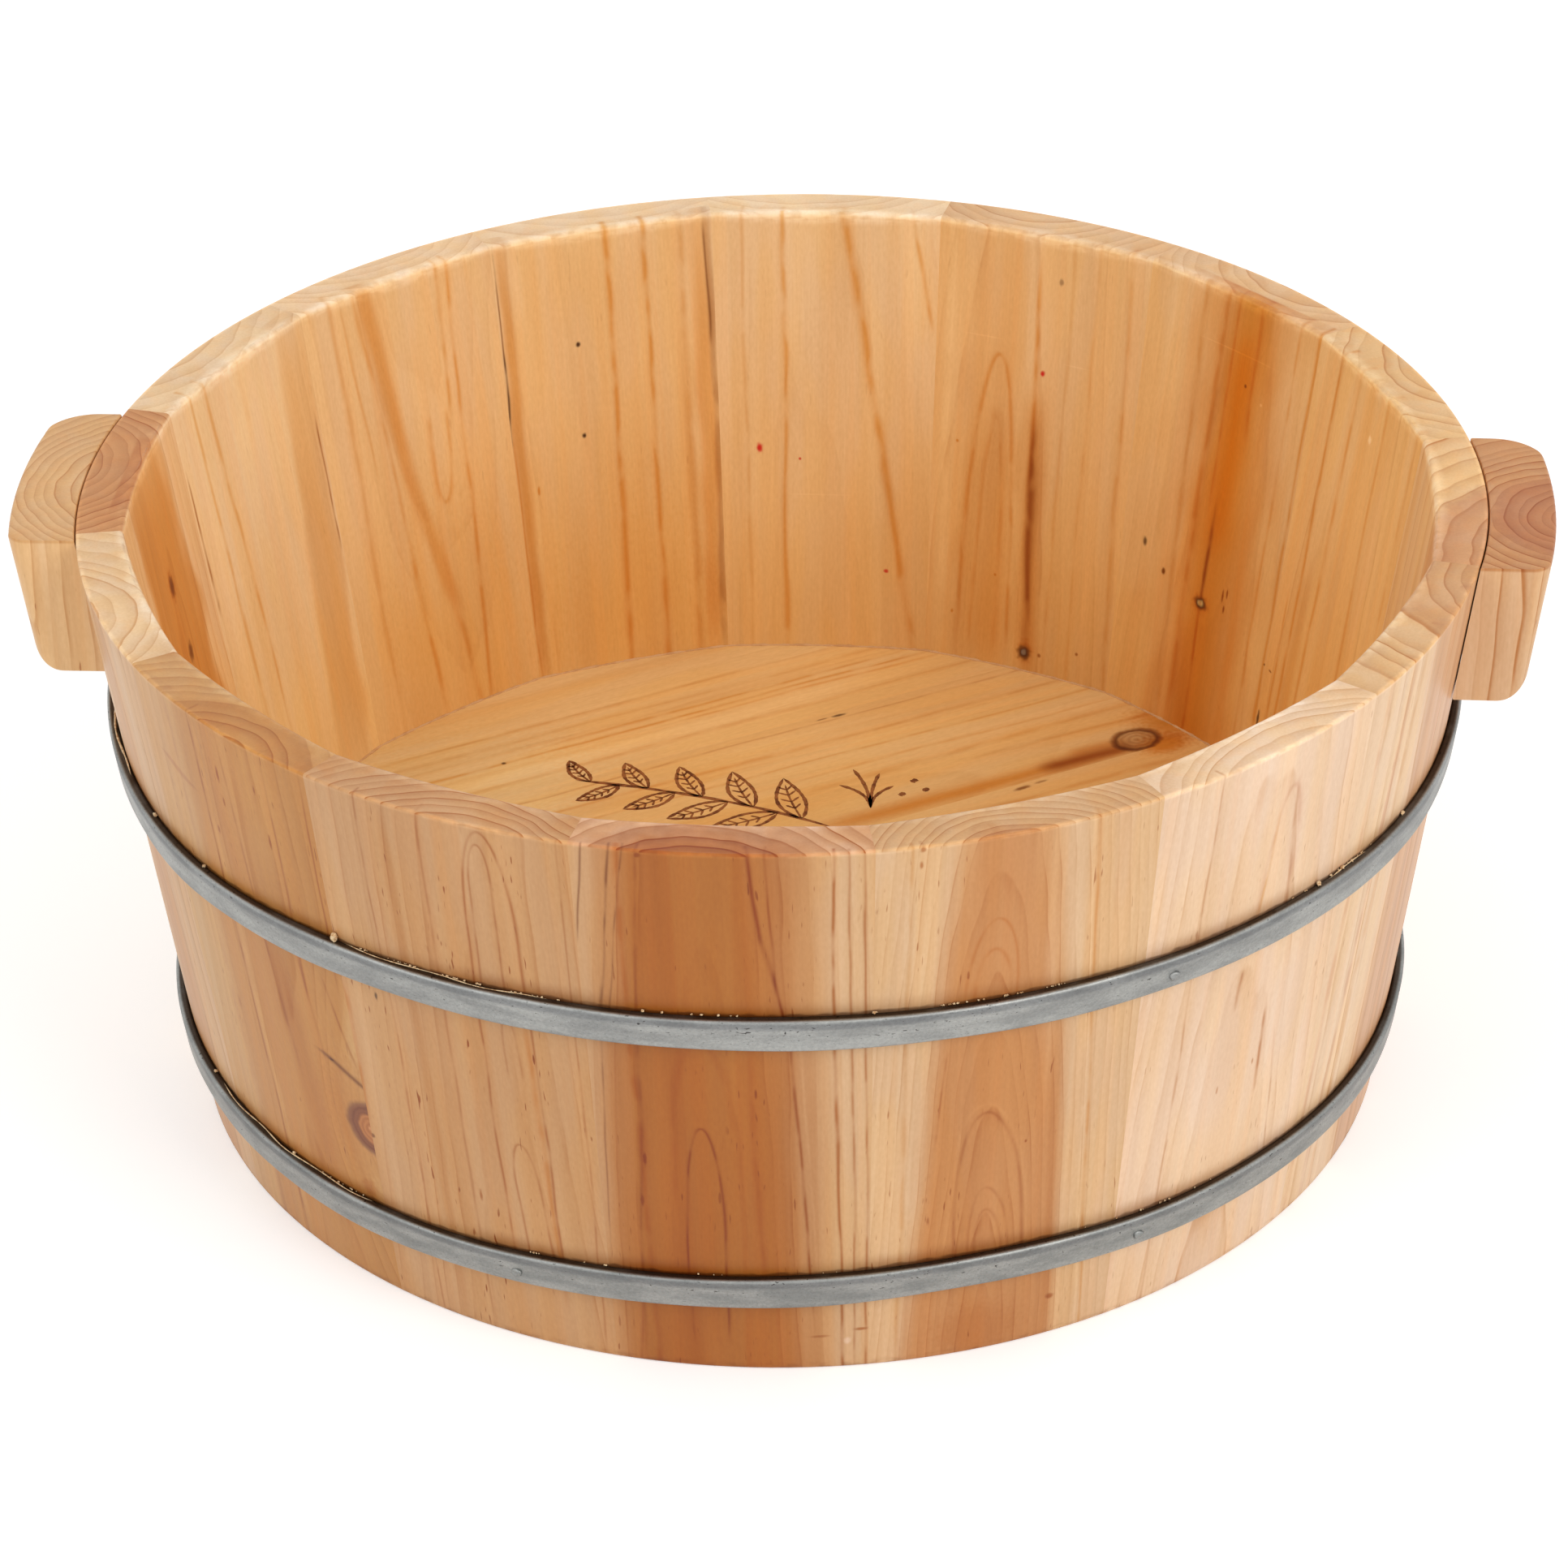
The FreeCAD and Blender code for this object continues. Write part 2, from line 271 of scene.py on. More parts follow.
@grouped("colour", "roughness", "waver")
def woodGrain(place, swirl, pith, drift, spacing, heart, heartEdge, sapwood, heartwood, line, contrast,
              endContrast, bands, flecks, end, seed):
    # Rings are circles round a pith line that runs outside the piece. The distance to it,
    # bent by slow noise and by knots, over the ring spacing is the ring number, and its
    # fraction climbs slowly through the pale wood and drops at each dark line.
    field = {name: noise(place, *spec, seed=seed) for name, spec in woodNoise.items()}
    x, y, z = split(place)
    pithX, pithY, pithZ = split(vector("ADD", pith, scaled(drift, z - tub["height"] / 2)))
    across, depth = x - pithX, y + pithY
    square = across * across + depth * depth
    slow, quick, shaky = ((field[name] - 0.5) * woodRings[name] for name in ("slow", "quick", "shaky"))
    waver = quick + shaky
    distance = calc("SQRT", square) + (slow + swirl + waver)

    rawRing = distance / spacing
    seedX, seedY, seedZ = split(seed)
    uneven = put("ShaderNodeTexNoise", {"W": rawRing * woodRings["uneven"] + seedX, "Scale": 1.0,
                                        "Detail": 0.0}, noise_dimensions="1D")
    ring = rawRing + uneven
    fraction = calc("FRACT", ring)
    lot = put("ShaderNodeTexWhiteNoise", {"W": calc("FLOOR", ring) + seedY}, noise_dimensions="1D")
    drop = ramp(fraction, *woodRings["drop"], 1.0, 0.0)
    dark = (ramp(fraction, *woodRings["dark"]) * 0.78 + ramp(fraction, 0.2, 0.95) * 0.22) * drop
    broken = calc("MAXIMUM", ramp(field["broken"], 0.32, 0.64, 0.35, 1.0), end)
    contrast = ramp(end, 0.0, 1.0, contrast, endContrast)
    dark = dark * ((lot * lot + 0.2) * contrast * broken)

    heartPlace = (field["bands"] - 0.5).times(6.0, distance)
    colour = mixed(ramp(heartPlace, heart - heartEdge, heart + heartEdge, 1.0, 0.0), sapwood, heartwood)
    light = field["fibre"].times(0.08, 0.96) + field["bands"].times(0.10, -0.05)
    light = light + field["blotch"].times(0.16, -0.08) + field["mottle"].times(0.08, -0.04)
    climb = (ramp(fraction, 0.1, 0.9) * drop).times(-0.11, 0.04) * broken
    light = light + climb * contrast
    colour = vector("MULTIPLY", colour, merge(light, calc("POWER", light, 1.5), calc("POWER", light, 2.2)))
    hue = ramp(field["soft"], 0.36, 0.64)
    colour = tinted(1.0, colour, mixed(hue, woodRings["cool"], woodRings["warm"]))
    colour = tinted(ramp(field["bands"], 0.48, 0.64) * 0.32, colour, woodRings["band"])
    colour = tinted(ramp(field["wide"], 0.48, 0.62) * bands, colour, woodRings["wide"])
    colour = tinted(dark, colour, line)
    fleck = ramp(field["fleck"], 0.74, 0.86) * ramp(field["soft"], 0.46, 0.60) * flecks * (1.0 - end)
    colour = tinted(fleck, colour, woodRings["fleck"])
    return colour, dark.times(0.12, 0.40) + field["fibre"].times(0.16, -0.08), waver


def besideStreak(place, waver, narrow, slant, thinness, offset):
    # how far a place lies beside a streak's leaning and wavering line, in its half widths
    return (vector("DOT_PRODUCT", place, slant) - waver).times(thinness, offset) * narrow


@grouped("colour")
def woodThread(colour, place, waver, narrow, slant, thinness, offset, tint, strength):
    # a soft line along the whole grain, where its strength is exp(-u^2) and u is the distance
    # from the line in half widths
    across = besideStreak(place, waver, narrow, slant, thinness, offset)
    return tinted(bell(across) * strength, colour, tint)


@grouped("colour")
def woodStreak(colour, place, waver, narrow, slant, thinness, offset, tint, strength, edge, shortness,
               middle):
    # a band with ends and square sides: its strength is exp(-|u|^e - v^8), where v is the way
    # along from the middle in half lengths
    across = besideStreak(place, waver, narrow, slant, thinness, offset)
    side = calc("POWER", calc("ABSOLUTE", across), edge)
    along = split(place)[2].times(shortness, middle)
    along = along * along
    along = along * along
    return tinted(calc("EXPONENT", along.times(along, side) * -1.0) * strength, colour, tint)


@grouped("colour")
def woodArch(colour, place, waver, apex, width, head, reach, half, slope, tint, strength):
    # One ring line where it comes out of the face: a half ellipse (x/w)^2 + (1-t)^2 = 1 with
    # straight legs, where t is the way along from the apex over the length of the head. The
    # distance to it is the equation's error over the length of its gradient, and the line's
    # strength is exp(-(distance/half)^2).
    x, y, z = split(vector("SUBTRACT", place, apex))
    share = (x - z * slope - waver) / width
    rest = calc("MAXIMUM", 1.0 - z / head, 0.0)
    error = share.times(share, rest * rest) - 1.0
    sideways, endways = share / width, rest / head
    steep = calc("SQRT", sideways.times(sideways, endways * endways) + 1.0e-5) * 2.0
    line = bell(error / steep / half) * ramp(z / reach, 1.05, 0.85)
    return tinted(line * strength, colour, tint)


@grouped("colour")
def woodSpot(colour, place, ragged, centre, size, tint, strength):
    # an oval spot: with q^2 = (x/w)^2 + (z/l)^2, its edge roughened by noise, its strength is
    # exp(-q^4)
    share = vector("DIVIDE", vector("SUBTRACT", place, centre), size)
    return tinted(bell(vector("DOT_PRODUCT", share, share) * ragged) * strength, colour, tint)


@grouped("swirl", "core", "bark", "rings")
def woodKnot(place, centre, radius, long, reach, lift, rim):
    # a knot through the piece: a bump exp(-q^2) that the rings bend round, and inside its
    # radius a dark bark ring about a core with its own rings
    offset = vector("SUBTRACT", place, centre)
    near = vector("LENGTH", vector("DIVIDE", offset, merge(1.0, hidden, long)))
    near = near + (noise(place, (4.0, 4.0, 4.0), 2.0) - 0.5) * 1.6
    far = vector("LENGTH", vector("DIVIDE", offset, (1.0, hidden, 2.4)))
    ratio = near / radius
    bark = ramp(ratio, rim, rim + 0.22) * ramp(ratio, 0.96, 1.22, 1.0, 0.0)
    rings = calc("SINE", near * 3.6).times(0.5, 0.5)
    return bell(far / reach) * lift, ramp(ratio, 0.86, 1.02, 1.0, 0.0), bark, rings


hoops = {
    # middle height of a hoop, its lift at the front and at the right, and the waves that
    # bend it, each an azimuth, a width and a height
    "upper": {"height": 120.3, "frontLift": 1.4, "rightLift": -0.7,
              "waves": ((-62.0, 18.0, -3.0), (63.0, 16.0, -1.8), (8.0, 30.0, 0.4))},
    "lower": {"height": 26.8, "frontLift": 3.4, "rightLift": 0.8,
              "waves": ((16.0, 13.0, 2.0), (-42.0, 22.0, -2.0), (65.0, 14.0, -1.4))},
}
bar = {"thickness": 3.0, "depth": 10.0, "rounding": 0.9, "clearance": 0.05}


def hoopHeight(look, azimuth):
    # a tilted plane plus one bell curve for each wave
    turn = np.radians(azimuth)
    height = look["height"] + look["frontLift"] * np.cos(turn) + look["rightLift"] * np.sin(turn)
    for middle, width, rise in look["waves"]:
        height = height + rise * np.exp(-((azimuth - middle) / width) ** 2)
    return height


def hoopCurve(look, middle):
    # the upper edge's height, slope and bend across the stave whose middle is given, from
    # the parabola through three points of the hoop
    half = 10.0
    low, here, high = (float(hoopHeight(look, middle + turn)) for turn in (-half, 0.0, half))
    reach = outerRadius(here) * math.sin(math.radians(half))
    return (here + bar["depth"] / 2, (high - low) / 2 / reach, ((high + low) / 2 - here) / reach ** 2)


wear = {
    "deep": (0.90, 0.81, 0.60),  # painted shade that darkens the lower part of the inner faces
    "shadeFrom": 150.0,
    # grime and painted shade in the crease just above each hoop
    "grime": (0.16, 0.10, 0.07),
    # painted soft shade up to 6 mm above each hoop
    "hoopShade": (0.62, 0.46, 0.34),
    "foot": (0.55, 0.42, 0.34),
    "worn": (1.30, 1.36, 1.40),  # the rim's worn outer edge, lightened as wear and as a painted highlight
    # the rim's worn inner edge, lightened as wear and as a painted highlight
    "innerWornHighlight": (1.22, 1.40, 1.70),
    "raggedSize": (4.0, 4.0, 1.6),
    "patchSize": (34.0, 34.0, 26.0),
}


def wallParts(source):
    # the place in millimetres, its height, its radius, and how far it lies outside the
    # wall's outer face
    place = scaled(source, 1000.0)
    height = split(place)[2]
    radius = vector("LENGTH", vector("MULTIPLY", place, (1.0, 1.0, 0.0)))
    return place, height, radius, radius - height.times(math.tan(lean), tub["baseRadius"])


@grouped("colour")
def outerWear(colour, source, place, upper, lower):
    # Grime and painted shade in the crease just above each hoop, softer painted shade a little higher,
    # a worn outer edge of the rim lightened as wear and as a painted highlight, and a trace of
    # dirt at the foot. A hoop's height over one stave is a parabola of the place across it,
    # given as its height, slope and bend.
    across = split(place)[0]
    place, height, radius, proud = wallParts(source)
    outside = ramp(proud, -2.0, -1.0)
    ragged = noise(place, wear["raggedSize"], 1.0)
    patchy = ramp(noise(place, wear["patchSize"]), 0.3, 0.7, 0.25, 0.8)
    reach = ragged.times(1.7, -0.5)
    for curve in (upper, lower):
        level, slope, bend = split(curve)
        above = height - across.times(across.times(bend, slope), level)
        near = ramp(above, -2.5, -1.5) * outside
        # painted soft shade up to 6 mm above the hoop
        colour = tinted(ramp(above, 6.0, 0.0) * near * patchy, colour, wear["hoopShade"])
        # grime and painted shade in the crease just above the hoop
        colour = tinted(ramp(above - reach, 0.5, -0.5) * near * 0.7, colour, wear["grime"])
    # worn outer edge of the rim, lightened as wear and as a painted highlight
    worn = ramp(proud + height, tub["height"] - 1.6, tub["height"] - 0.5)
    colour = tinted(worn * ramp(ragged, 0.35, 0.6, 0.2, 0.7), colour, wear["worn"])
    foot = ramp(height, 3.0, 0.5) * ramp(ragged, 0.4, 0.7, 0.1, 0.6) * outside
    return tinted(foot, colour, wear["foot"])


@grouped("colour")
def innerWear(colour, source):
    # painted shade that darkens down the inner face, and a worn inner edge of the rim, lightened as wear
    # and as a painted highlight
    place, height, radius, proud = wallParts(source)
    # painted shade, darker down the inner face
    deep = ramp(height, wear["shadeFrom"], tub["floorTop"]) * ramp(proud, -8.0, -12.0)
    colour = tinted(deep, colour, wear["deep"])
    # worn inner edge of the rim, lightened as wear and as a painted highlight
    within = height - proud - (tub["height"] + tub["rimWall"])
    worn = ramp(within, -4.5, -1.2) * ramp(noise(place, wear["raggedSize"], 1.0), 0.3, 0.6, 0.3, 0.9)
    return tinted(worn, colour, wear["innerWornHighlight"])


print("wood groups made")

woodFinish = {
    "gloss": 0.30,  # specular level
    "coat": 0.05,  # clear lacquer
    "coatRoughness": 0.2,
    "fineStreak": 1.5,  # narrower streaks fade in places
    "fullLength": 145.0,  # longer ones run from end to end
    "swellSize": (6.0, 6.0, 20.0),  # grain sizes of the noises that the marks share
    "fadeSize": (5.0, 5.0, 11.0),
    "raggedSize": (1.4, 1.4, 1.4),
    "coreLine": (0.62, 0.45, 0.34),  # in a knot
}
# What a wood has if its own settings don't say otherwise
plainWood = {"drift": (0.0, 0.0), "heart": 0.0, "heartEdge": 4.0, "line": (0.70, 0.44, 0.21),
             "endContrast": 0.9, "bands": 0.25, "flecks": 0.7}


def markedColour(plain, place, waver, marks):
    # streaks, arches and spots of one face laid over the grain's colour, with the noises
    # they share: how the widths swell, how lines fade in places, and how ragged spots are
    narrow = noise(place, woodFinish["swellSize"]).times(0.6, 0.7)
    fading = ramp(noise(place, woodFinish["fadeSize"]), 0.32, 0.56, 0.4, 1.0)
    ragged = noise(place, woodFinish["raggedSize"]) + 0.5
    colour = plain
    for tint, middle, slope, half, length, strength, edge in marks["streaks"]:
        inputs = {
            "colour": colour, "place": place, "waver": waver, "narrow": narrow,
            "slant": (1.0, 0.0, -slope), "thinness": 1.0 / half,
            "offset": (slope * middle[2] - middle[0]) / half, "tint": tints[tint],
            "strength": fading * strength if half < woodFinish["fineStreak"] else strength,
        }
        if length >= woodFinish["fullLength"] and edge == 2:
            colour = woodThread(**inputs)
        else:
            colour = woodStreak(edge=edge, shortness=2.0 / length, middle=-2.0 * middle[2] / length,
                                **inputs)
    for tint, strength, shape in marks["arches"]:
        colour = woodArch(colour=colour, place=place, waver=waver, tint=tints[tint],
                          strength=fading * strength, **shape)
    for tint, centre, size, strength in marks["spots"]:
        colour = woodSpot(colour=colour, place=place, ragged=ragged, centre=centre, size=size,
                          tint=tints[tint], strength=strength)
    if colour is plain:
        return plain
    low, high = marks["depths"]
    depth = split(place)[1]
    return mixed(ramp(depth, low - 1.0, low) * ramp(depth, high + 1.0, high), plain, colour)


def woodMaterial(name, look, turn, shift, tip=(0.0, 0.0, 0.0), faces=(None,), wears=()):
    # The object's coordinates are turned about Z, then tipped and shifted, into the
    # (across, depth, along) of this piece. A stave's outer and inner face get a shader each,
    # and its depth says which one counts. Each of the overlays lays wear, painted shade and
    # painted highlights over one face.
    look = {**plainWood, **look}
    material = newMaterial(name)
    source = objectPlace()
    turned = put("ShaderNodeMapping", {"Vector": source, "Rotation": (0.0, 0.0, math.radians(turn)),
                                       "Scale": (1000.0,) * 3})
    place = put("ShaderNodeMapping", {"Vector": turned, "Rotation": tip, "Location": shift})
    swirl = 0.0
    knots = []
    for knot in look.get("knots", ()):
        made = woodKnot(place=place, centre=knot["centre"], radius=knot["radius"], long=knot["long"],
                        reach=knot["reach"], lift=knot["lift"], rim=knot["rim"])
        swirl = made[0] + swirl
        knots.append((knot, made))
    end = 0.0
    if "endFrom" in look:
        end = ramp(split(source)[2], look["endFrom"] / 1000.0, (look["endFrom"] + 0.8) / 1000.0)
    colour, roughness, waver = woodGrain(
        place=place, swirl=swirl, pith=(*look["pith"], 0.0), drift=(*look["drift"], 0.0), end=end,
        seed=tuple(look["seed"] * step for step in (3.7, 1.9, 5.3)),
        **{part: look[part] for part in ("spacing", "heart", "heartEdge", "sapwood", "heartwood", "line",
                                         "contrast", "endContrast", "bands", "flecks")})
    for knot, (_, core, bark, rings) in knots:
        inside = tinted(rings * 0.6, knot["core"], woodFinish["coreLine"])
        colour = mixed(core * 0.85, colour, inside)
        colour = tinted(bark * 0.9, colour, knot["bark"])
    shaders = []
    for index, marks in enumerate(faces):
        drawn = markedColour(colour, place, waver, marks) if marks else colour
        if wears:
            drawn = wears[index](drawn, source, place)
        if "endTint" in look:
            drawn = tinted(end, drawn, look["endTint"])
        shaders.append(put("ShaderNodeBsdfPrincipled", {
            "Base Color": drawn, "Roughness": roughness, "Specular IOR Level": woodFinish["gloss"],
            "Coat Weight": woodFinish["coat"], "Coat Roughness": woodFinish["coatRoughness"],
        }))
    surface = shaders[0]
    if len(shaders) == 2:
        inside = calc("GREATER_THAN", split(place)[1], tub["rimWall"] / 2)
        surface = put("ShaderNodeMixShader", (inside, *shaders))
    node("ShaderNodeOutputMaterial", {"Surface": surface})
    return material


def finishWith(obj, material):
    for slot in obj.material_slots:
        slot.material = material


tints = {
    "thread": (0.60, 0.33, 0.14),
    "plum": (0.40, 0.27, 0.20),
    "orange": (0.84, 0.58, 0.27),
    "honey": (0.80, 0.55, 0.27),
    "olive": (0.62, 0.50, 0.40),
    "band": (0.87, 0.72, 0.54),
    "amber": (0.94, 0.84, 0.66),
    "flame": (1.0, 0.74, 0.26),
    "blaze": (0.79, 0.47, 0.14),
    "ember": (0.48, 0.26, 0.12),
    "wan": (1.0, 1.14, 1.34),
    "resin": (0.28, 0.13, 0.03),
    "dark": (0.09, 0.05, 0.03),
    "dusk": (0.86, 0.76, 0.74),
    "blush": (0.84, 0.70, 0.64),
    "pale": (1.12, 1.20, 1.30),
    "white": (9.0, 32.0, 220.0),  # over a dark spot
    "chalk": (1.25, 1.50, 2.10),
    "grey": (0.45, 0.42, 0.42),
    "red": (0.75, 0.04, 0.06),
}

softHeart = (216, 160, 98)
# Staves, from the one right of the front round to the one left of it: the pith's azimuth and
# depth outside the face at mid height, its drift in mm for each mm of height, ring spacing,
# radius of the heartwood, contrast, sapwood, heartwood, tint of the end grain, and the rest
staveLooks = (
    (16.3, 10, 0.09, 2.7, 21.5, 0.45, (221, 181, 137), (199, 137, 81), (0.90, 0.82, 0.70), {}),
    (40.5, 34, 0.05, 4.2, 0, 0.5, (236, 202, 168), softHeart, (0.98, 0.95, 0.87),
     {"bands": 0.2, "flecks": 0.5}),
    (74.5, 20, 0, 7.2, 46, 0.6, (234, 199, 159), (218, 172, 128), (0.92, 0.82, 0.65),
     {"bands": 0.2, "flecks": 0.4}),
    (74, 42, 0.02, 6.8, 63, 0.6, (238, 196, 140), (214, 160, 112), (0.96, 0.90, 0.84),
     {"heartEdge": 3.0, "flecks": 0.3}),
    (109, 24, 0.04, 5, 0, 0.25, (245, 197, 130), softHeart, (0.86, 0.86, 0.96),
     {"flecks": 0.15, "bands": 0.4, "endContrast": 0.6}),
    (128, 18, 0.05, 4.6, 0, 0.25, (241, 198, 138), softHeart, (0.88, 0.84, 0.92),
     {"flecks": 0.15, "bands": 0.35, "endContrast": 0.6}),
    (157, 14, 0.06, 4.8, 0, 0.26, (235, 190, 131), softHeart, (0.90, 0.88, 0.97),
     {"flecks": 0.15, "endContrast": 0.6}),
    (177, 40, 0.05, 6, 0, 0.18, (240, 200, 146), softHeart, (1.0, 1.05, 1.21),
     {"drift": (0.06, 0.05), "flecks": 0.15, "endContrast": 0.5}),
    (-166, 60, 0, 6.4, 0, 0.15, (241, 200, 144), softHeart, (0.96, 1.0, 1.18),
     {"flecks": 0.15, "endContrast": 0.45}),
    (-142, 36, -0.05, 4.6, 0, 0.2, (241, 199, 143), softHeart, (0.98, 1.02, 1.20),
     {"flecks": 0.15, "endContrast": 0.5}),
    (-118, 46, 0.03, 5.4, 0, 0.18, (247, 213, 164), softHeart, (0.87, 0.83, 0.84),
     {"flecks": 0.15, "endContrast": 0.5}),
    (-96, 16, 0.03, 3.4, 0, 0.4, (240, 198, 146), softHeart, (0.66, 0.45, 0.29), {"flecks": 0.2}),
    (-70, 12, 0.05, 5, 17, 0.45, (210, 166, 118), (198, 145, 92), (1.24, 1.40, 1.60),
     {"endContrast": 0.6}),
    (-45.5, 17, 0.02, 4.6, 36, 0.4, (206, 157, 99), (194, 135, 70), (0.95, 0.90, 0.84),
     {"knots": [{"at": (-38.4, 59.3), "radius": 8.8, "long": 1.0, "reach": 18.0, "lift": 17.0,
                 "rim": 0.50, "bark": (0.42, 0.33, 0.46), "core": paint(196, 132, 80)}]}),
    (-23.4, 30, 0.02, 3.4, 90, 0.36, (234, 197, 150), (203, 154, 105), (0.97, 0.93, 0.88),
     {"flecks": 1.0, "bands": 0.4}),
    (-7.2, 24, 0.02, 4.6, 37, 0.35, (213, 170, 124), (176, 107, 42), (0.98, 0.87, 0.88),
     {"heartEdge": 9.0, "bands": 0.45, "endContrast": 1.5}),
)

# Streaks on the wall, by tint: azimuth at the highest and at the lowest point, lowest and
# highest point, half width in mm, strength, and how square their sides are if not 2, soft
outerStreaks = {
    "dusk": [(-56, -55.6, 0, 180, 1.3, 0.6), (-13.8, -14.6, 20, 140, 3.6, 0.2, 3),
        (68, 66, 0, 180, 23, 0.35, 8)],
    "thread": [(-52.5, -51.4, 0, 180, 0.45, 0.7), (-48.9, -46.9, 70, 180, 0.55, 0.45),
        (-43.3, -43.4, 100, 180, 0.45, 0.6), (-43.6, -42.9, 80, 112, 0.55, 0.6),
        (-41.1, -39.2, 82, 108, 0.5, 0.6), (-39.2, -39.3, 110, 180, 0.4, 0.7),
        (-33.9, -33.6, 0, 180, 0.35, 0.55), (-28.5, -28.2, 0, 180, 0.45, 0.45),
        (-17, -17.2, 0, 180, 0.35, 0.5), (-11.2, -13.4, 25, 170, 0.5, 0.5),
        (-3.1, -2.2, 150, 182, 0.6, 1), (-2.2, -0.2, 120, 152, 0.6, 1), (-0.2, 1.4, 20, 122, 0.5, 0.9),
        (-1.8, -1.3, 135, 182, 0.4, 0.7), (3.2, 4, 0, 180, 0.5, 0.95), (4.5, 5.1, 0, 172, 0.4, 0.7),
        (5.6, 6.1, 20, 180, 0.4, 0.8), (12.2, 11.4, 80, 108, 0.4, 0.6),
        (34.3, 32.8, 0, 180, 0.4, 0.55), (42.5, 43.6, 124, 166, 0.6, 0.5),
        (39.5, 39.3, 96, 107, 0.6, 0.9), (43.1, 43.3, 62, 88, 0.55, 0.9),
        (45, 46.5, 34, 76, 0.4, 0.6)],
    "pale": [(-52, -50.9, 0, 180, 1.1, 0.8, 3), (-37.4, -37.2, 0, 180, 3.4, 0.5, 4),
        (0.6, 2, 20, 122, 0.45, 0.7), (23.1, 25.6, 0, 180, 0.55, 0.9)],
    "resin": [(-42.7, -38.3, 73.8, 80.3, 2, 0.8)],
    "band": [(-46.9, -45.2, 30, 112, 5, 0.8, 3), (-31.6, -31.2, 0, 180, 1.6, 0.7, 3),
        (-3.4, -2.4, 25, 110, 0.9, 0.9), (9, 8.9, 0, 180, 0.6, 0.8), (20.6, 22.8, 0, 180, 1.6, 0.5, 3),
        (40.4, 39.4, 0, 125, 7, 0.35, 3), (59.5, 56.4, 0, 180, 1.3, 0.8, 3)],
    "orange": [(-38.7, -38.6, 64, 112, 1.2, 0.8, 3), (-21.4, -20.6, 20, 116, 0.9, 0.8),
        (-12.6, -12.4, 0, 180, 0.9, 0.8), (23.5, 26.1, 0, 180, 0.5, 0.7),
        (40.9, 40.1, 124, 160, 0.55, 0.7)],
    "blush": [(-57.6, -55.3, 153, 156, 3, 0.8, 4), (53.8, 51.9, 0, 180, 1.2, 0.9, 3),
        (57.8, 54.9, 0, 180, 1.1, 1, 3), (63.4, 62.6, 0, 180, 0.8, 0.6),
        (66.6, 65.6, 0, 180, 0.8, 0.5), (70, 69.4, 0, 180, 1.5, 0.6)],
    "plum": [(-13, -14.7, 125, 182, 0.38, 0.9), (-14.7, -16, 40, 128, 0.35, 0.6),
        (-15.2, -16.1, 150, 182, 0.32, 0.8), (-12.1, -14.3, 120, 182, 0.32, 0.6)],
    "amber": [(-9.6, -9.2, 0, 180, 3, 0.7), (-7.6, -6.8, 10, 118, 5.5, 0.9)],
}
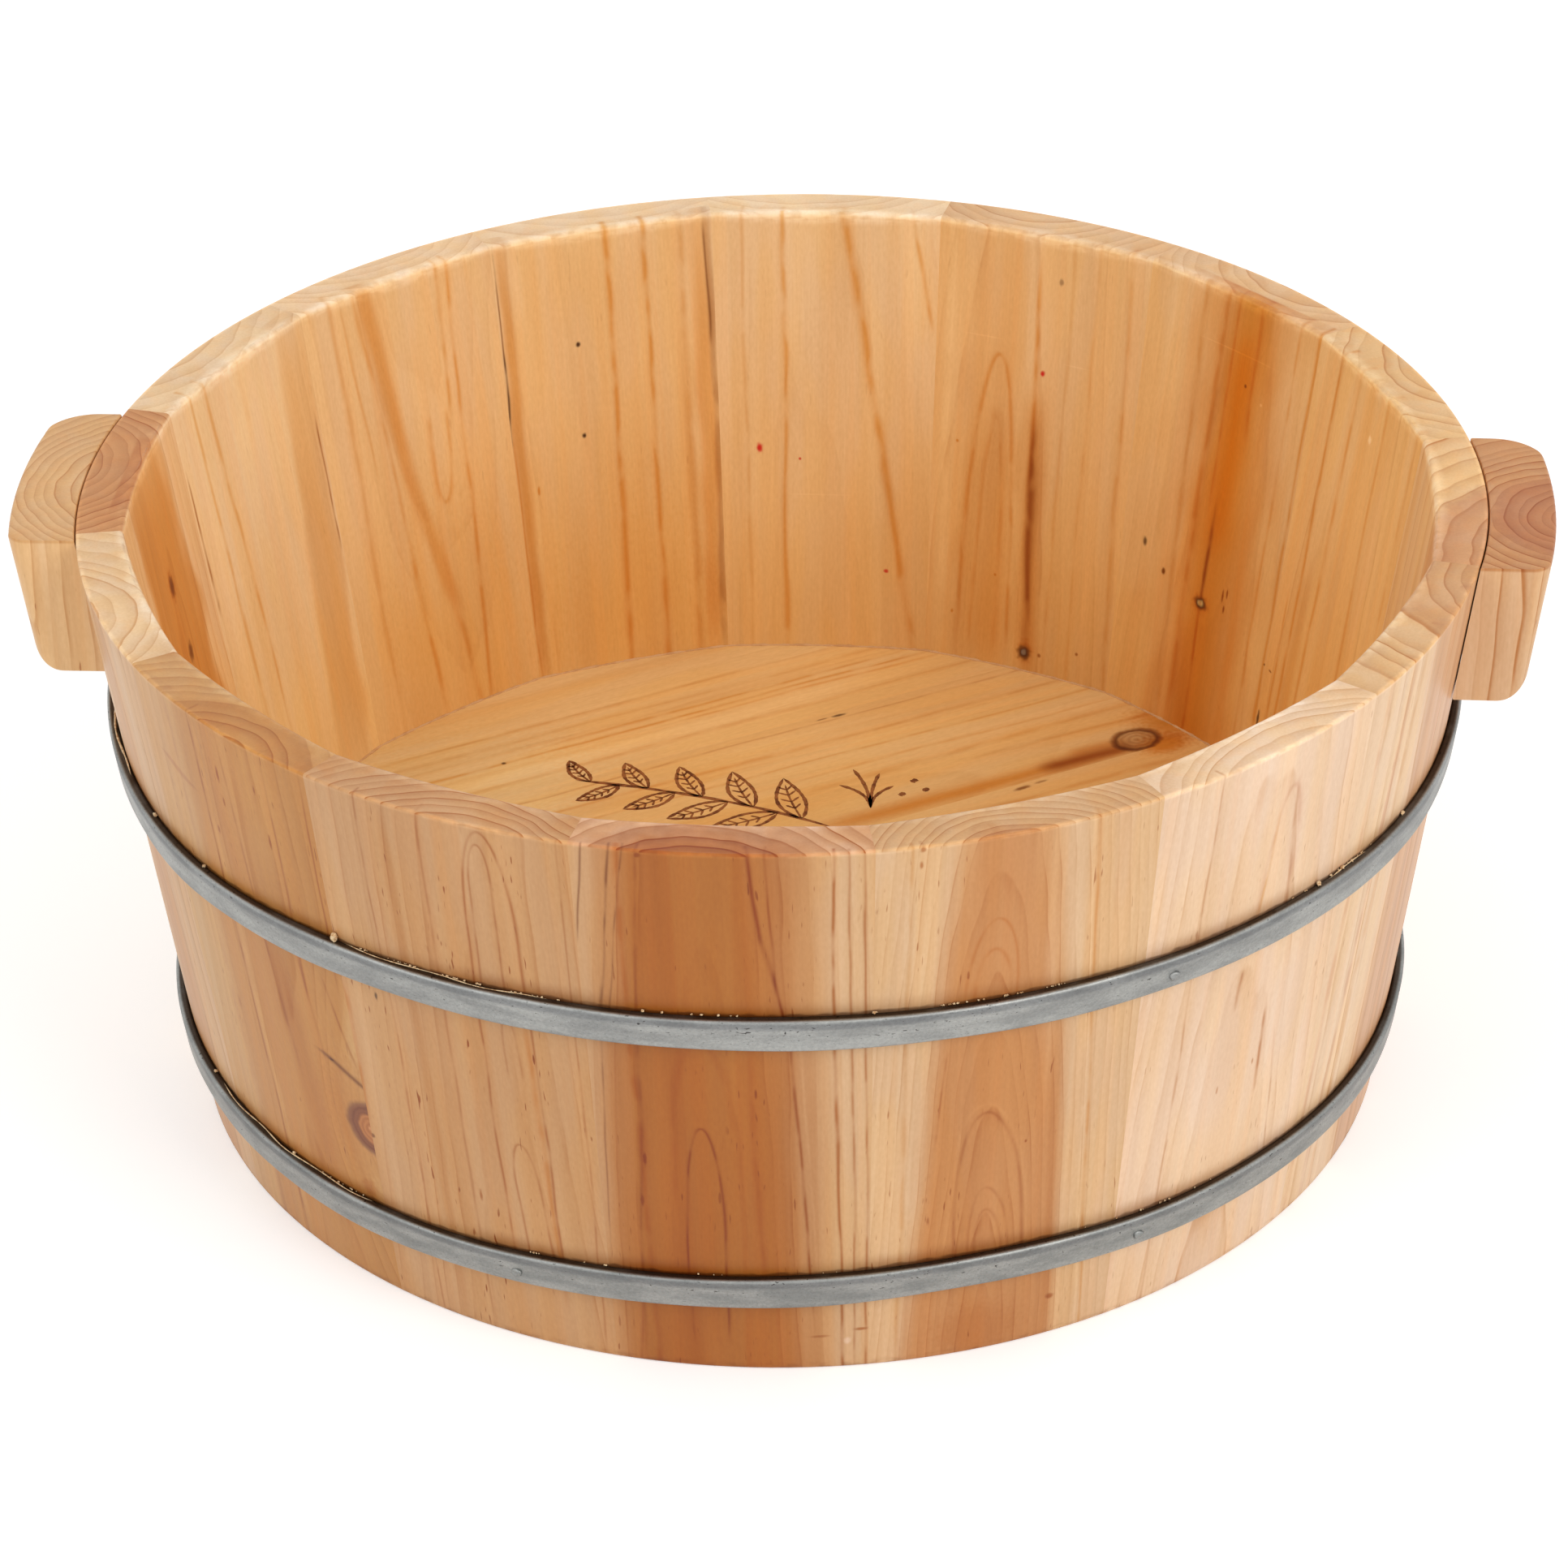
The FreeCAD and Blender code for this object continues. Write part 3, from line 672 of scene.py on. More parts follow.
innerStreaks = {
    "honey": [(-94.5, -96.9, 34, 184, 22, 1, 10), (-152.2, -152, 34, 182, 2, 0.85, 3),
        (152.6, 151.4, 34, 126, 3.4, 0.85), (131.5, 132.3, 34, 182, 1.4, 0.8),
        (129.7, 129.7, 34, 77, 0.75, 1)],
    "amber": [(-94.5, -96.9, 34, 184, 22, 0.8, 10), (-162, -162, 34, 182, 32, 0.5, 12),
        (157, 156.6, 34, 118, 5, 0.7, 3)],
    "ember": [(-106.5, -106.7, 115, 157, 0.45, 1), (-128.4, -128.6, 106, 146, 0.4, 1),
        (152.6, 151.6, 42, 116, 1.3, 0.95), (129.3, 129.6, 79, 112, 0.7, 1)],
    "orange": [(-109.9, -111.2, 34, 182, 0.75, 0.7), (-112.5, -115, 34, 182, 0.83, 0.75),
        (-133.5, -134.3, 122, 178, 0.49, 0.5), (-136.1, -138.3, 116, 184, 3, 0.75, 3),
        (-138.3, -141.8, 70, 118, 2.4, 0.7, 3), (-141.8, -143.4, 34, 70, 1.2, 0.7),
        (-135, -137.1, 100, 184, 0.7, 0.6), (-137.1, -138.7, 34, 100, 0.9, 0.8),
        (-145.1, -144.6, 130, 182, 0.9, 0.8), (-146.3, -145.6, 100, 182, 0.75, 0.85),
        (-145.6, -144.8, 34, 100, 0.75, 0.85), (-151.5, -151.5, 34, 116, 0.4, 0.8),
        (-163.1, -162.2, 34, 182, 0.98, 0.95), (-166.8, -166.7, 34, 182, 0.98, 0.95),
        (-172.7, -172.6, 34, 182, 3, 0.75, 3), (179.3, 179.6, 34, 182, 0.9, 0.85),
        (173.4, 165.1, 34, 184, 1.42, 0.95), (166.5, 164.1, 145, 180, 0.75, 0.8),
        (153, 152.6, 96, 168, 0.83, 0.9), (146.9, 146.5, 34, 182, 0.68, 0.35),
        (143.4, 141.7, 34, 182, 0.83, 0.5), (126.9, 126.7, 138, 182, 0.9, 0.8),
        (130, 130.2, 112, 182, 0.6, 0.7), (131.6, 130.6, 34, 70, 3, 0.4),
        (121.7, 121.7, 34, 182, 0.68, 0.6), (119, 119, 34, 182, 0.75, 0.9),
        (116.9, 116.7, 44, 98, 0.6, 0.8), (114.8, 115.5, 34, 182, 0.83, 0.9),
        (110.8, 112.2, 50, 182, 0.9, 0.8), (104.7, 104.4, 60, 182, 0.75, 0.6),
        (97.6, 97.4, 90, 182, 0.9, 0.5)],
    "band": [(-127.4, -124.4, 34, 184, 8, 0.9, 8), (-132.2, -132.5, 34, 182, 1.05, 0.8),
        (-170.5, -170.7, 34, 182, 1.35, 0.9), (-176.5, -176.5, 34, 182, 0.75, 0.7),
        (157, 157.5, 34, 182, 9.6, 0.5, 8), (149.6, 149.4, 34, 182, 0.68, 0.6),
        (134.4, 133.8, 34, 182, 1.2, 0.8), (113.8, 114.3, 34, 110, 2.8, 0.8, 3)],
    "dark": [(-151.35, -151.35, 116, 144, 0.34, 0.9)],
    "resin": [(-151.35, -151.35, 140, 176, 0.34, 0.8), (-173.1, -173.3, 140, 176, 0.4, 0.7)],
    "olive": [(-173.5, -173.6, 34, 182, 1.2, 0.85, 3)],
    "pale": [(162.5, 162.4, 34, 182, 1.4, 0.55, 3)],
    "blaze": [(128.2, 128.9, 34, 184, 19, 1)],
    "flame": [(128.3, 128.9, 98, 168, 5.2, 1)],
}

# Ring lines that come out of the face as arches: azimuth of the apex and of the foot, height
# of the apex and of the foot, length of the head, half width, half of the line's width, strength
outerArches = {
    "thread": [(-23.25, -22.7, 178.3, 20, 30, 7.2, 0.45, 0.75),
        (-23.55, -23.6, 174, 124, 14, 3.5, 0.4, 0.6), (-23.1, -22.2, 72.5, 22, 16, 3.4, 0.4, 0.6),
        (-22.9, -22.7, 118, 96, 12, 1.8, 0.35, 0.4), (-7.35, -7.35, 87.2, 10, 42, 5.2, 0.45, 0.85),
        (15.9, 16.8, 87, 28, 42, 9.8, 0.6, 0.5), (16.2, 16.8, 60, 28, 22, 5.6, 0.5, 0.35),
        (16.3, 16.8, 52, 28, 16, 3.6, 0.5, 0.3)],
    "orange": [(-7.2, -7.2, 118, 60, 50, 8.5, 1.2, 0.35), (15.75, 15.6, 153, 124, 22, 6.5, 0.5, 0.55),
        (15.6, 15.6, 143, 124, 14, 4.6, 0.6, 0.55)],
    "pale": [(15.75, 16.6, 90, 28, 46, 11.5, 0.6, 0.45)],
    "blush": [(42.1, 41.6, 166, 120, 36, 5.8, 0.9, 0.75)],
}
innerArches = {
    "orange": [(157, 157.2, 139, 36, 80, 8.2, 0.8, 0.75), (157, 157.1, 118, 36, 60, 4.2, 0.8, 0.45),
        (-142.4, -143, 104, 134, 14, 3.2, 0.9, 0.6)],
}

# Spots: azimuth, height, half width, half length, strength
outerSpots = {
    "thread": [(-49.6, 164, 0.6, 2.6, 0.9), (-49.5, 155, 0.5, 1.6, 0.8), (-51.3, 143, 0.6, 1.4, 0.7),
        (-44.2, 150, 0.5, 2.4, 0.9), (-44.9, 166, 0.4, 1.4, 0.7), (-27.6, 50, 0.5, 2, 0.8),
        (-12.2, 75, 0.5, 2.4, 0.9), (-12.7, 60, 0.5, 2.2, 0.8), (-2.9, 100, 0.4, 1.6, 0.7),
        (38.5, 68, 0.4, 1.2, 0.7), (42.5, 72, 0.4, 1, 0.8), (19.4, 74, 0.4, 0.6, 0.9),
        (22.9, 14, 1.2, 1, 0.9), (5.6, 14, 1.8, 0.6, 0.9), (2, 12, 2.6, 0.5, 0.6),
        (-11, 178.5, 0.8, 0.9, 0.8), (9.7, 174, 0.5, 1.2, 0.8), (9.8, 179, 0.7, 0.8, 0.8)],
    "dark": [(-35.2, 111, 0.5, 1.2, 0.8)],
    "dusk": [(-54.9, 78, 0.8, 2.4, 0.9), (-58.5, 166, 14, 18, 0.35)],
    "wan": [(-61, 84, 16, 34, 0.5)],
    "pale": [(-46, 160, 13, 26, 0.6)],
    "band": [(15.9, 8, 12, 10, 0.75)],
    "honey": [(-39.2, 60, 13, 24, 0.55), (-40.3, 36, 2.4, 3, 0.6)],
    "chalk": [(-38.75, 59.6, 0.8, 0.6, 1), (4.4, 10, 1, 1.2, 0.6)],
    "resin": [(-38.6, 57.4, 0.9, 0.8, 0.8), (-42, 79.3, 1, 0.5, 0.8)],
}
innerSpots = {
    "orange": [(-95.6, 141, 3.2, 4.6, 1), (-153.5, 98, 0.5, 1.4, 1), (161.1, 108.2, 0.5, 0.5, 1),
        (155.9, 65.5, 0.5, 0.5, 1), (160.8, 50.5, 0.5, 0.7, 1), (151.7, 42, 2.6, 3.6, 0.9),
        (129.6, 78.5, 3.4, 2.8, 0.9)],
    "resin": [(-95.6, 141, 2.2, 3.4, 0.95), (-96.4, 118, 2.2, 3, 0.95), (135.3, 83.2, 0.75, 1.2, 1),
        (127.8, 153, 0.5, 0.6, 0.8), (117.8, 70.5, 0.9, 0.4, 0.8), (118.9, 71, 0.4, 0.4, 0.9)],
    "dark": [(-159.3, 143.5, 0.75, 0.9, 1), (-159.1, 113.3, 0.75, 0.8, 1),
        (151.8, 41.2, 2.2, 2.3, 0.95), (138.3, 90.2, 0.85, 1.5, 0.85), (129.6, 78.5, 2.5, 2, 0.95),
        (118.6, 53.4, 0.7, 2.6, 0.9)],
    "red": [(-177.8, 102.6, 1, 1.5, 1), (177.9, 98.8, 0.45, 0.5, 0.9), (168.4, 61.6, 0.75, 0.6, 0.9),
        (152.1, 135.2, 0.75, 1, 1)],
    "white": [(151.8, 41.4, 0.85, 0.95, 0.3), (129.6, 78.6, 1.1, 0.95, 1)],
    "ember": [(149.9, 41.4, 0.6, 0.7, 0.9), (145.3, 45.2, 0.6, 0.6, 0.9), (126.6, 84.5, 0.45, 2, 1),
        (126, 86, 0.4, 1.6, 1), (126.2, 80.6, 0.45, 1.2, 1)],
    "grey": [(150.8, 166, 0.8, 1.2, 0.85)],
    "chalk": [(107.1, 163, 1, 1.3, 0.9), (125.4, 149.5, 0.5, 0.5, 0.7)],
    "amber": [(-142, 48, 26, 52, 0.75), (-163, 40, 26, 52, 0.75)],
    "pale": [(129.2, 162.3, 15, 0.28, 0.8), (158.8, 144.2, 6.5, 0.25, 0.5),
        (148.4, 139.8, 4.6, 0.25, 0.5), (175.8, 86.8, 9.5, 0.25, 0.4)],
}
wallMarks = {
    # streaks, arches, spots, and the depths that they reach
    "outer": (outerStreaks, outerArches, outerSpots, (-2.0, 4.0)),
    "inner": (innerStreaks, innerArches, innerSpots, (tub["rimWall"] - 4.0, tub["baseWall"] + 8.0)),
}
print("tints, streaks and spots set")


def turnBetween(first, second):
    return (first - second + 180.0) % 360.0 - 180.0


def wallPlace(azimuth, height, middle, face):
    # (across, depth, along) of a point of the wall in the stave whose middle is given
    turn = math.radians(turnBetween(azimuth, middle))
    radius = innerRadius(height) if face == "inner" else outerRadius(height)
    inward = tub["baseRadius"] - radius * math.cos(turn)
    return (radius * math.sin(turn), inward * math.cos(lean) + height * math.sin(lean),
            height * math.cos(lean) - inward * math.sin(lean))


def rowsOf(table):
    # a table's rows, each with its tint put first
    return [(tint, *row) for tint, group in table.items() for row in group]


def markWall(middle, face):
    # the marks of one face that lie on the stave whose middle is given
    streaks, arches, spots, depths = wallMarks[face]
    marks = {"streaks": [], "arches": [], "spots": [], "depths": depths}

    def isHere(azimuth):
        return abs(turnBetween(azimuth, middle)) <= staveAngle / 2

    for tint, top, bottom, low, high, half, strength, *edge in rowsOf(streaks):
        if isHere((top + bottom) / 2):
            first, last = wallPlace(bottom, low, middle, face), wallPlace(top, high, middle, face)
            centre = tuple((a + b) / 2 for a, b in zip(first, last))
            slope = (last[0] - first[0]) / (last[2] - first[2])
            marks["streaks"].append((tint, centre, slope, half, high - low + 2.0, strength,
                                     *(edge or [2])))
    for tint, top, bottom, apex, foot, head, width, half, strength in rowsOf(arches):
        if isHere(top):
            first, last = wallPlace(top, apex, middle, face), wallPlace(bottom, foot, middle, face)
            reach = last[2] - first[2]
            marks["arches"].append((tint, strength, {
                "apex": first, "slope": (last[0] - first[0]) / reach, "width": width, "reach": reach,
                "head": math.copysign(head, foot - apex), "half": half,
            }))
    for tint, azimuth, height, half, halfLong, strength in rowsOf(spots):
        if isHere(azimuth):
            centre = wallPlace(azimuth, height, middle, face)
            marks["spots"].append((tint, centre, (half, hidden, halfLong), strength))
    return marks


def dressStaves():
    shift = (0.0, tub["baseRadius"] * math.cos(lean), -tub["baseRadius"] * math.sin(lean))
    for index, row in enumerate(staveLooks):
        azimuth, depth, drift, spacing, heart, contrast, sapwood, heartwood, endTint, rest = row
        middle = turnBetween(tub["firstStave"] + index * staveAngle, 0.0)
        across = math.radians(turnBetween(azimuth, middle)) * outerRadius(tub["height"] / 2)
        look = {
            "pith": (across, depth), "drift": (0.0, drift), "spacing": spacing, "heart": heart,
            "contrast": contrast, "sapwood": paint(*sapwood), "heartwood": paint(*heartwood),
            "endTint": endTint, "seed": index + 1.0, "endFrom": tub["height"] - 1.0, **rest,
        }
        look["knots"] = [dict(knot, centre=wallPlace(*knot["at"], middle, "outer"))
                         for knot in look.get("knots", ())]
        curves = {hoopName: hoopCurve(hoops[hoopName], middle) for hoopName in hoops}
        # the outer face gets grime and painted shade above the hoops, the inner face painted shade, and
        # both a worn rim edge with a painted highlight
        wears = (lambda plain, source, place: outerWear(colour=plain, source=source, place=place, **curves),
                 lambda plain, source, place: innerWear(colour=plain, source=source))
        name = "stave_%02d" % (index + 1)
        material = woodMaterial("wood_" + name, look, -middle, shift, (-lean, 0.0, 0.0),
                                [markWall(middle, face) for face in wallMarks], wears)
        finishWith(nodes[name], material)
    print("staves dressed")


# Bottom boards, front to back: pith across and depth, drift, spacing, seed. Their places are
# (across from the board's middle, height above its underside, along the grain from the axis).
boardLooks = ((10, 50, 0.02, 7, 21), (-30, 24, 0.03, 7.5, 22), (26, 40, 0.04, 7, 23),
              (-26, 30, 0.05, 7, 24), (-40, 16, 0, 8.2, 25))
boardWood = {"sapwood": paint(236, 191, 124), "heartwood": paint(220, 165, 95), "contrast": 0.24,
             "flecks": 0.12, "bands": 0.30, "line": (0.78, 0.56, 0.32)}
boardKnot = {"board": 3, "at": (143.2, 40.0), "radius": 6.3, "long": 1.25, "reach": 15.0, "lift": 12.0,
             "rim": 0.68, "bark": (0.30, 0.15, 0.07), "core": paint(196, 152, 98)}
# Streaks on the bottom: place across at their far and near ends, from, to along the
# boards, half width, strength, squareness if not 2
boardStreaks = {
    "blaze": [(37.4, 38.6, 30, 140, 3.6, 0.9), (41, 41.6, 120, 140, 3, 0.5, 3)],
    "ember": [(36.6, 38.4, 108, 140, 3.2, 1)],
    "orange": [(36, 33, 60, 150, 1, 0.5), (121.6, 121, -60, 112, 0.7, 0.9),
        (125.4, 124.6, -20, 104, 0.7, 0.8), (118.4, 118.8, 20, 112, 0.6, 0.7),
        (75, 77, 0, 150, 0.6, 0.6), (66.6, 68, 10, 150, 0.6, 0.5)],
    "band": [(52, 54, 90, 170, 1, 0.9), (109.4, 108, -120, 120, 0.9, 0.6),
        (84, 86, -20, 140, 0.9, 0.9), (61, 60, 30, 160, 1.4, 0.8), (24, 26, 30, 160, 1.2, 0.8),
        (139, 137, -80, 60, 0.9, 0.8), (131, 131.5, -90, 90, 0.9, 0.6)],
    "thread": [(96.4, 96.6, -130, 60, 0.5, 0.45)],
    "pale": [(113.6, 113, -110, 110, 2.6, 0.7, 3)],
}
# Spots: place along, place across, half length, half width, strength
boardSpots = {
    "dark": [(67, 98, 2.4, 0.7, 0.85), (-40, 121, 0.8, 0.7, 0.9)],
    "resin": [(61, 98.2, 2, 0.4, 0.7), (97, 31, 3, 0.9, 0.9), (104, 31.6, 2.4, 0.6, 0.6),
        (-66, 96, 2.2, 0.6, 0.5), (-74, 95.4, 2.4, 0.5, 0.4)],
    "wan": [(-96, 20, 66, 60, 1), (-20, 150, 90, 34, 0.2), (-62, 112, 44, 34, 1)],
    "amber": [(10, 60, 40, 30, 0.5)],
    "blaze": [(163, 46, 16, 13, 1), (150, 34, 9, 6, 1)],
}


def dressBoards():
    thickness = tub["floorTop"] - tub["floorUnderside"]
    quarter = -math.pi / 2
    for index, (across, depth, drift, spacing, seed) in enumerate(boardLooks):
        middle = (index - (tub["boards"] - 1) / 2) * tub["boardWidth"]
        half = tub["boardWidth"] / 2
        marks = {"arches": (), "depths": (thickness - 4.0, thickness + 4.0)}
        marks["streaks"] = [
            (tint, ((far + near) / 2 - middle, thickness, (start + end) / 2), (far - near) / (end - start),
             width, end - start, strength, *(edge or [2]))
            for tint, far, near, start, end, width, strength, *edge in rowsOf(boardStreaks)
            if abs((far + near) / 2 - middle) <= half]
        marks["spots"] = [(tint, (side - middle, thickness, along), (width, hidden, halfLong), strength)
                          for tint, along, side, halfLong, width, strength in rowsOf(boardSpots)
                          if abs(side - middle) <= half + width]
        look = dict(boardWood, pith=(across, depth), drift=(0.0, drift), spacing=spacing, seed=seed)
        if index == boardKnot["board"]:
            along, side = boardKnot["at"]
            look["knots"] = [dict(boardKnot, centre=(side - middle, thickness, along))]
        name = "board_%d" % (index + 1)
        material = woodMaterial("wood_" + name, look, -tub["grainTurn"],
                                (-middle, -tub["floorUnderside"], 0.0), (0.0, quarter, quarter), [marks])
        finishWith(nodes["bottom_" + name], material)
    print("boards dressed")


handleLooks = {
    "right_handle": {"turn": 84.75, "pith": (-8.0, 4.0), "drift": (0.0, 0.02), "spacing": 3.4,
                     "heart": 26.0, "sapwood": paint(223, 180, 135), "heartwood": paint(204, 149, 107),
                     "contrast": 0.8, "seed": 31.0, "endTint": (0.80, 0.61, 0.43)},
    "left_handle": {"turn": -93.8, "pith": (4.0, -44.0), "spacing": 3.0, "sapwood": paint(230, 188, 137),
                    "heartwood": paint(206, 148, 104), "contrast": 0.9, "seed": 32.0,
                    "endTint": (0.87, 0.78, 0.66)},
}
handleReach = 219.0  # radius of a handle's outer face


def dressHandles():
    for name, look in handleLooks.items():
        look["endFrom"] = tub["height"] - 1.3
        finishWith(nodes[name], woodMaterial("wood_" + name, look, -look["turn"], (0.0, handleReach, 0.0)))
    print("handles dressed")


dressStaves()
dressBoards()
dressHandles()

# Galvanised steel of the hoops and nails, duller on the lower hoop
steel = {
    "upper": {"colour": paint(162, 163, 160), "dull": paint(142, 143, 141)},
    "lower": {"colour": paint(156, 157, 154), "dull": paint(134, 136, 134)},
    "pit": (0.22, 0.20, 0.20),
    "shoulderReflection": (0.60, 0.61, 0.64),  # a painted dark bluish reflection along the upper part of the face
    "dirt": (0.20, 0.14, 0.10),  # grime and a painted dark reflection of the wood, on the faces next to it
    "unrolled": 190.0,  # radius at which the azimuth is turned into a length
}
steelNoise = {
    # grain size round the tub, up and outward, detail, roughness
    "streak": ((16.0, 0.5, 2.0), 3.0, 0.65),
    "cloud": ((16.0, 4.0, 9.0), 3.0),
    "grain": ((0.9, 0.7, 0.9), 2.0, 0.7),
    "pit": ((1.3, 0.75, 1.3), 1.0),
    "speck": ((0.55, 0.4, 0.6), 1.0),
}


def makeSteel(hoopName):
    # streaks run round the tub: noise of (azimuth times radius, height); pits are the peaks
    # of a fine noise, drawn out round the tub; the height of hoopHeight is worked out again
    look, hoop = steel[hoopName], hoops[hoopName]
    material = newMaterial("galvanised_steel_" + hoopName)
    place, height, radius, proud = wallParts(objectPlace())
    x, y, z = split(place)
    turn = calc("ARCTAN2", x, y * -1.0)
    unrolled = merge(turn * steel["unrolled"], height, radius)
    azimuth = turn * math.degrees(1.0)
    level = calc("COSINE", turn).times(hoop["frontLift"], hoop["height"])
    level = calc("SINE", turn).times(hoop["rightLift"], level)
    for middle, width, rise in hoop["waves"]:
        level = bell((azimuth - middle) / width).times(rise, level)
    above = height - level
    streak, cloud, grain, pit, speck = (noise(unrolled, *spec) for spec in steelNoise.values())
    colour = mixed(ramp(cloud, 0.30, 0.70), look["dull"], look["colour"])
    colour = scaled(colour, streak.times(0.10, 0.96) + grain.times(0.60, -0.30))
    # painted dark bluish reflection along the upper part of the hoop's face
    band = ramp(above + streak.times(1.6, -0.8), 1.4, 2.8, 0.0, 0.8) * ramp(above, 4.3, 3.7)
    colour = tinted(band, colour, steel["shoulderReflection"])
    pitted = ramp(cloud, 0.40, 0.60) * ramp(above, -3.5, 0.5, 0.3, 1.0) * ramp(pit, 0.68, 0.74)
    colour = tinted(calc("MAXIMUM", pitted, ramp(speck, 0.70, 0.78) * 0.6), colour, steel["pit"])
    # grime and a painted dark reflection of the wood on the hoop's faces next to the wall
    dirt = ramp(proud, 2.5, 1.6) * ramp(cloud, 0.3, 0.5, 0.75, 1.0)
    colour = tinted(dirt, colour, steel["dirt"])
    bump = put("ShaderNodeBump", {"Height": grain, "Strength": 0.4, "Distance": 0.0001})
    shader = put("ShaderNodeBsdfPrincipled", {
        "Base Color": colour, "Roughness": cloud.times(-0.15, 0.55), "Normal": bump, "Metallic": 1.0,
    })
    node("ShaderNodeOutputMaterial", {"Surface": shader})
    return material


steelMaterials = {hoopName: makeSteel(hoopName) for hoopName in hoops}


def addObject(name, mesh):
    made = bpy.data.objects.new(name, mesh)
    bpy.context.collection.objects.link(made)
    return made


def meshPiece(name, points, faces, material, slotName, smooth=True):
    # a new piece from points in millimetres
    mesh = bpy.data.meshes.new(name)
    mesh.from_pydata((points.reshape(-1, 3) / 1000.0).tolist(), [], faces.tolist())
    mesh.polygons.foreach_set("use_smooth", np.full(len(mesh.polygons), smooth))
    mesh.materials.append(material)
    piece = addObject(name, mesh)
    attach(piece, "root")
    return piece


def gridFaces(rows, columns, closedRows, closedColumns):
    # quads between the neighbouring points of a grid, closed round either way
    row = np.arange(rows if closedRows else rows - 1)
    column = np.arange(columns if closedColumns else columns - 1)
    row, column = (part.ravel() for part in np.meshgrid(row, column, indexing="ij"))
    nextRow = (row + 1) % rows
    nextColumn = (column + 1) % columns
    return np.stack([row * columns + column, nextRow * columns + column,
                     nextRow * columns + nextColumn, row * columns + nextColumn], 1)


def roundedSection(width, height, rounding, steps=5):
    # a rectangle about the origin whose corners are quarter circles, anticlockwise; the
    # runs between them get points near their ends, so that their shading stays flat
    signs = np.array([(1, 1), (-1, 1), (-1, -1), (1, -1)])
    centres = signs * (np.array([width, height]) / 2 - rounding)
    turns = np.arange(4)[:, None] * np.pi / 2 + np.linspace(0, np.pi / 2, steps)[None]
    arcs = centres[:, None] + rounding * np.stack([np.cos(turns), np.sin(turns)], 2)
    following = np.roll(arcs[:, 0], -1, 0)
    shares = np.array([0.08, 0.5, 0.92])[None, :, None]
    runs = arcs[:, -1, None] * (1 - shares) + following[:, None] * shares
    return np.concatenate([arcs, runs], 1).reshape(-1, 2)


def around(count):
    return np.linspace(0, 2 * np.pi, count, endpoint=False)[None]


def wallPoint(azimuth, height, outward, upward):
    # points off the wall's outer face: outward along its normal, upward along its slope
    radius = outerRadius(height) + outward * math.cos(lean) + upward * math.sin(lean)
    turn = np.radians(azimuth)
    level = height - outward * math.sin(lean) + upward * math.cos(lean)
    return np.stack([radius * np.sin(turn), -radius * np.cos(turn), level + 0.0 * turn], -1)


def makeHoop(hoopName):
    # the bar's section carried round the wall at the height of hoopHeight, with the flat
    # faces a little uneven
    azimuth = np.linspace(-180.0, 180.0, 540, endpoint=False)[:, None]
    section = roundedSection(bar["thickness"], bar["depth"], bar["rounding"])[None]
    outward = bar["clearance"] + bar["thickness"] / 2 + section[..., 0]
    outward = outward + 0.05 * np.sin(np.radians(azimuth * 23)) * (section[..., 0] > 0)
    upward = section[..., 1] + 0.10 * np.sin(np.radians(azimuth * 17) + 1.3) * np.sign(section[..., 1])
    points = wallPoint(azimuth, hoopHeight(hoops[hoopName], azimuth), outward, upward)
    return meshPiece(hoopName + "_bent_hoop", points, gridFaces(*points.shape[:2], True, True),
                     steelMaterials[hoopName], "hoop_steel")


nails = {
    "upper": (31.1, 151.1, -88.9),
    "lower": (-24.5, 30.8, 155.5, -149.2),
    "lift": {"upper": -0.8, "lower": -1.0},  # off the middle of the bar
    "headRadius": 1.5,
    "headRise": 0.7,
    "shankRadius": 0.7,
    "shankLength": 12.0,
}


def makeNails(hoopName):
    # lathe of (radius, rise) from the shank's tip to the crown, flattened and dented by the
    # hammer: the rise gets a slow wave of the angle
    head, rise, shank = nails["headRadius"], nails["headRise"], nails["shankRadius"]
    profile = np.array([
        (0.01, -nails["shankLength"]), (shank, 2.0 - nails["shankLength"]), (shank, -0.3),
        (head, -0.3), (head * 1.02, rise * 0.35), (head * 0.86, rise * 0.8), (head * 0.5, rise),
        (0.01, rise * 0.9),
    ])
    turn = around(20)
    radius, out = profile[:, :1], profile[:, 1:]
    points = []
    for index, azimuth in enumerate(nails[hoopName]):
        dent = 0.22 * np.sin(turn * 2 + index) * (out > 0.2) * radius / head
        across = radius * np.cos(turn) * (1.0 + 0.12 * np.sin(3 * turn + index))
        upward = radius * np.sin(turn) * (1.0 + 0.10 * np.cos(2 * turn + index))
        height = hoopHeight(hoops[hoopName], azimuth)
        base = bar["clearance"] + bar["thickness"]
        angle = azimuth + np.degrees(across / (outerRadius(height) + base))
        points.append(wallPoint(angle, height, base + out + dent, upward + nails["lift"][hoopName]))
    shape = points[0].shape[:2]
    faces = [gridFaces(*shape, False, True)[:, ::-1] + index * shape[0] * shape[1]
             for index in range(len(points))]
    return meshPiece(hoopName + "_nail_heads", np.stack(points), np.concatenate(faces),
                     steelMaterials[hoopName], "nail_steel")


for hoopName in hoops:
    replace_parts(makeHoop(hoopName), hoopName + "_hoop")
    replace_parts(makeNails(hoopName), hoopName + "_hoop_nails")
print("hoops and nails made")


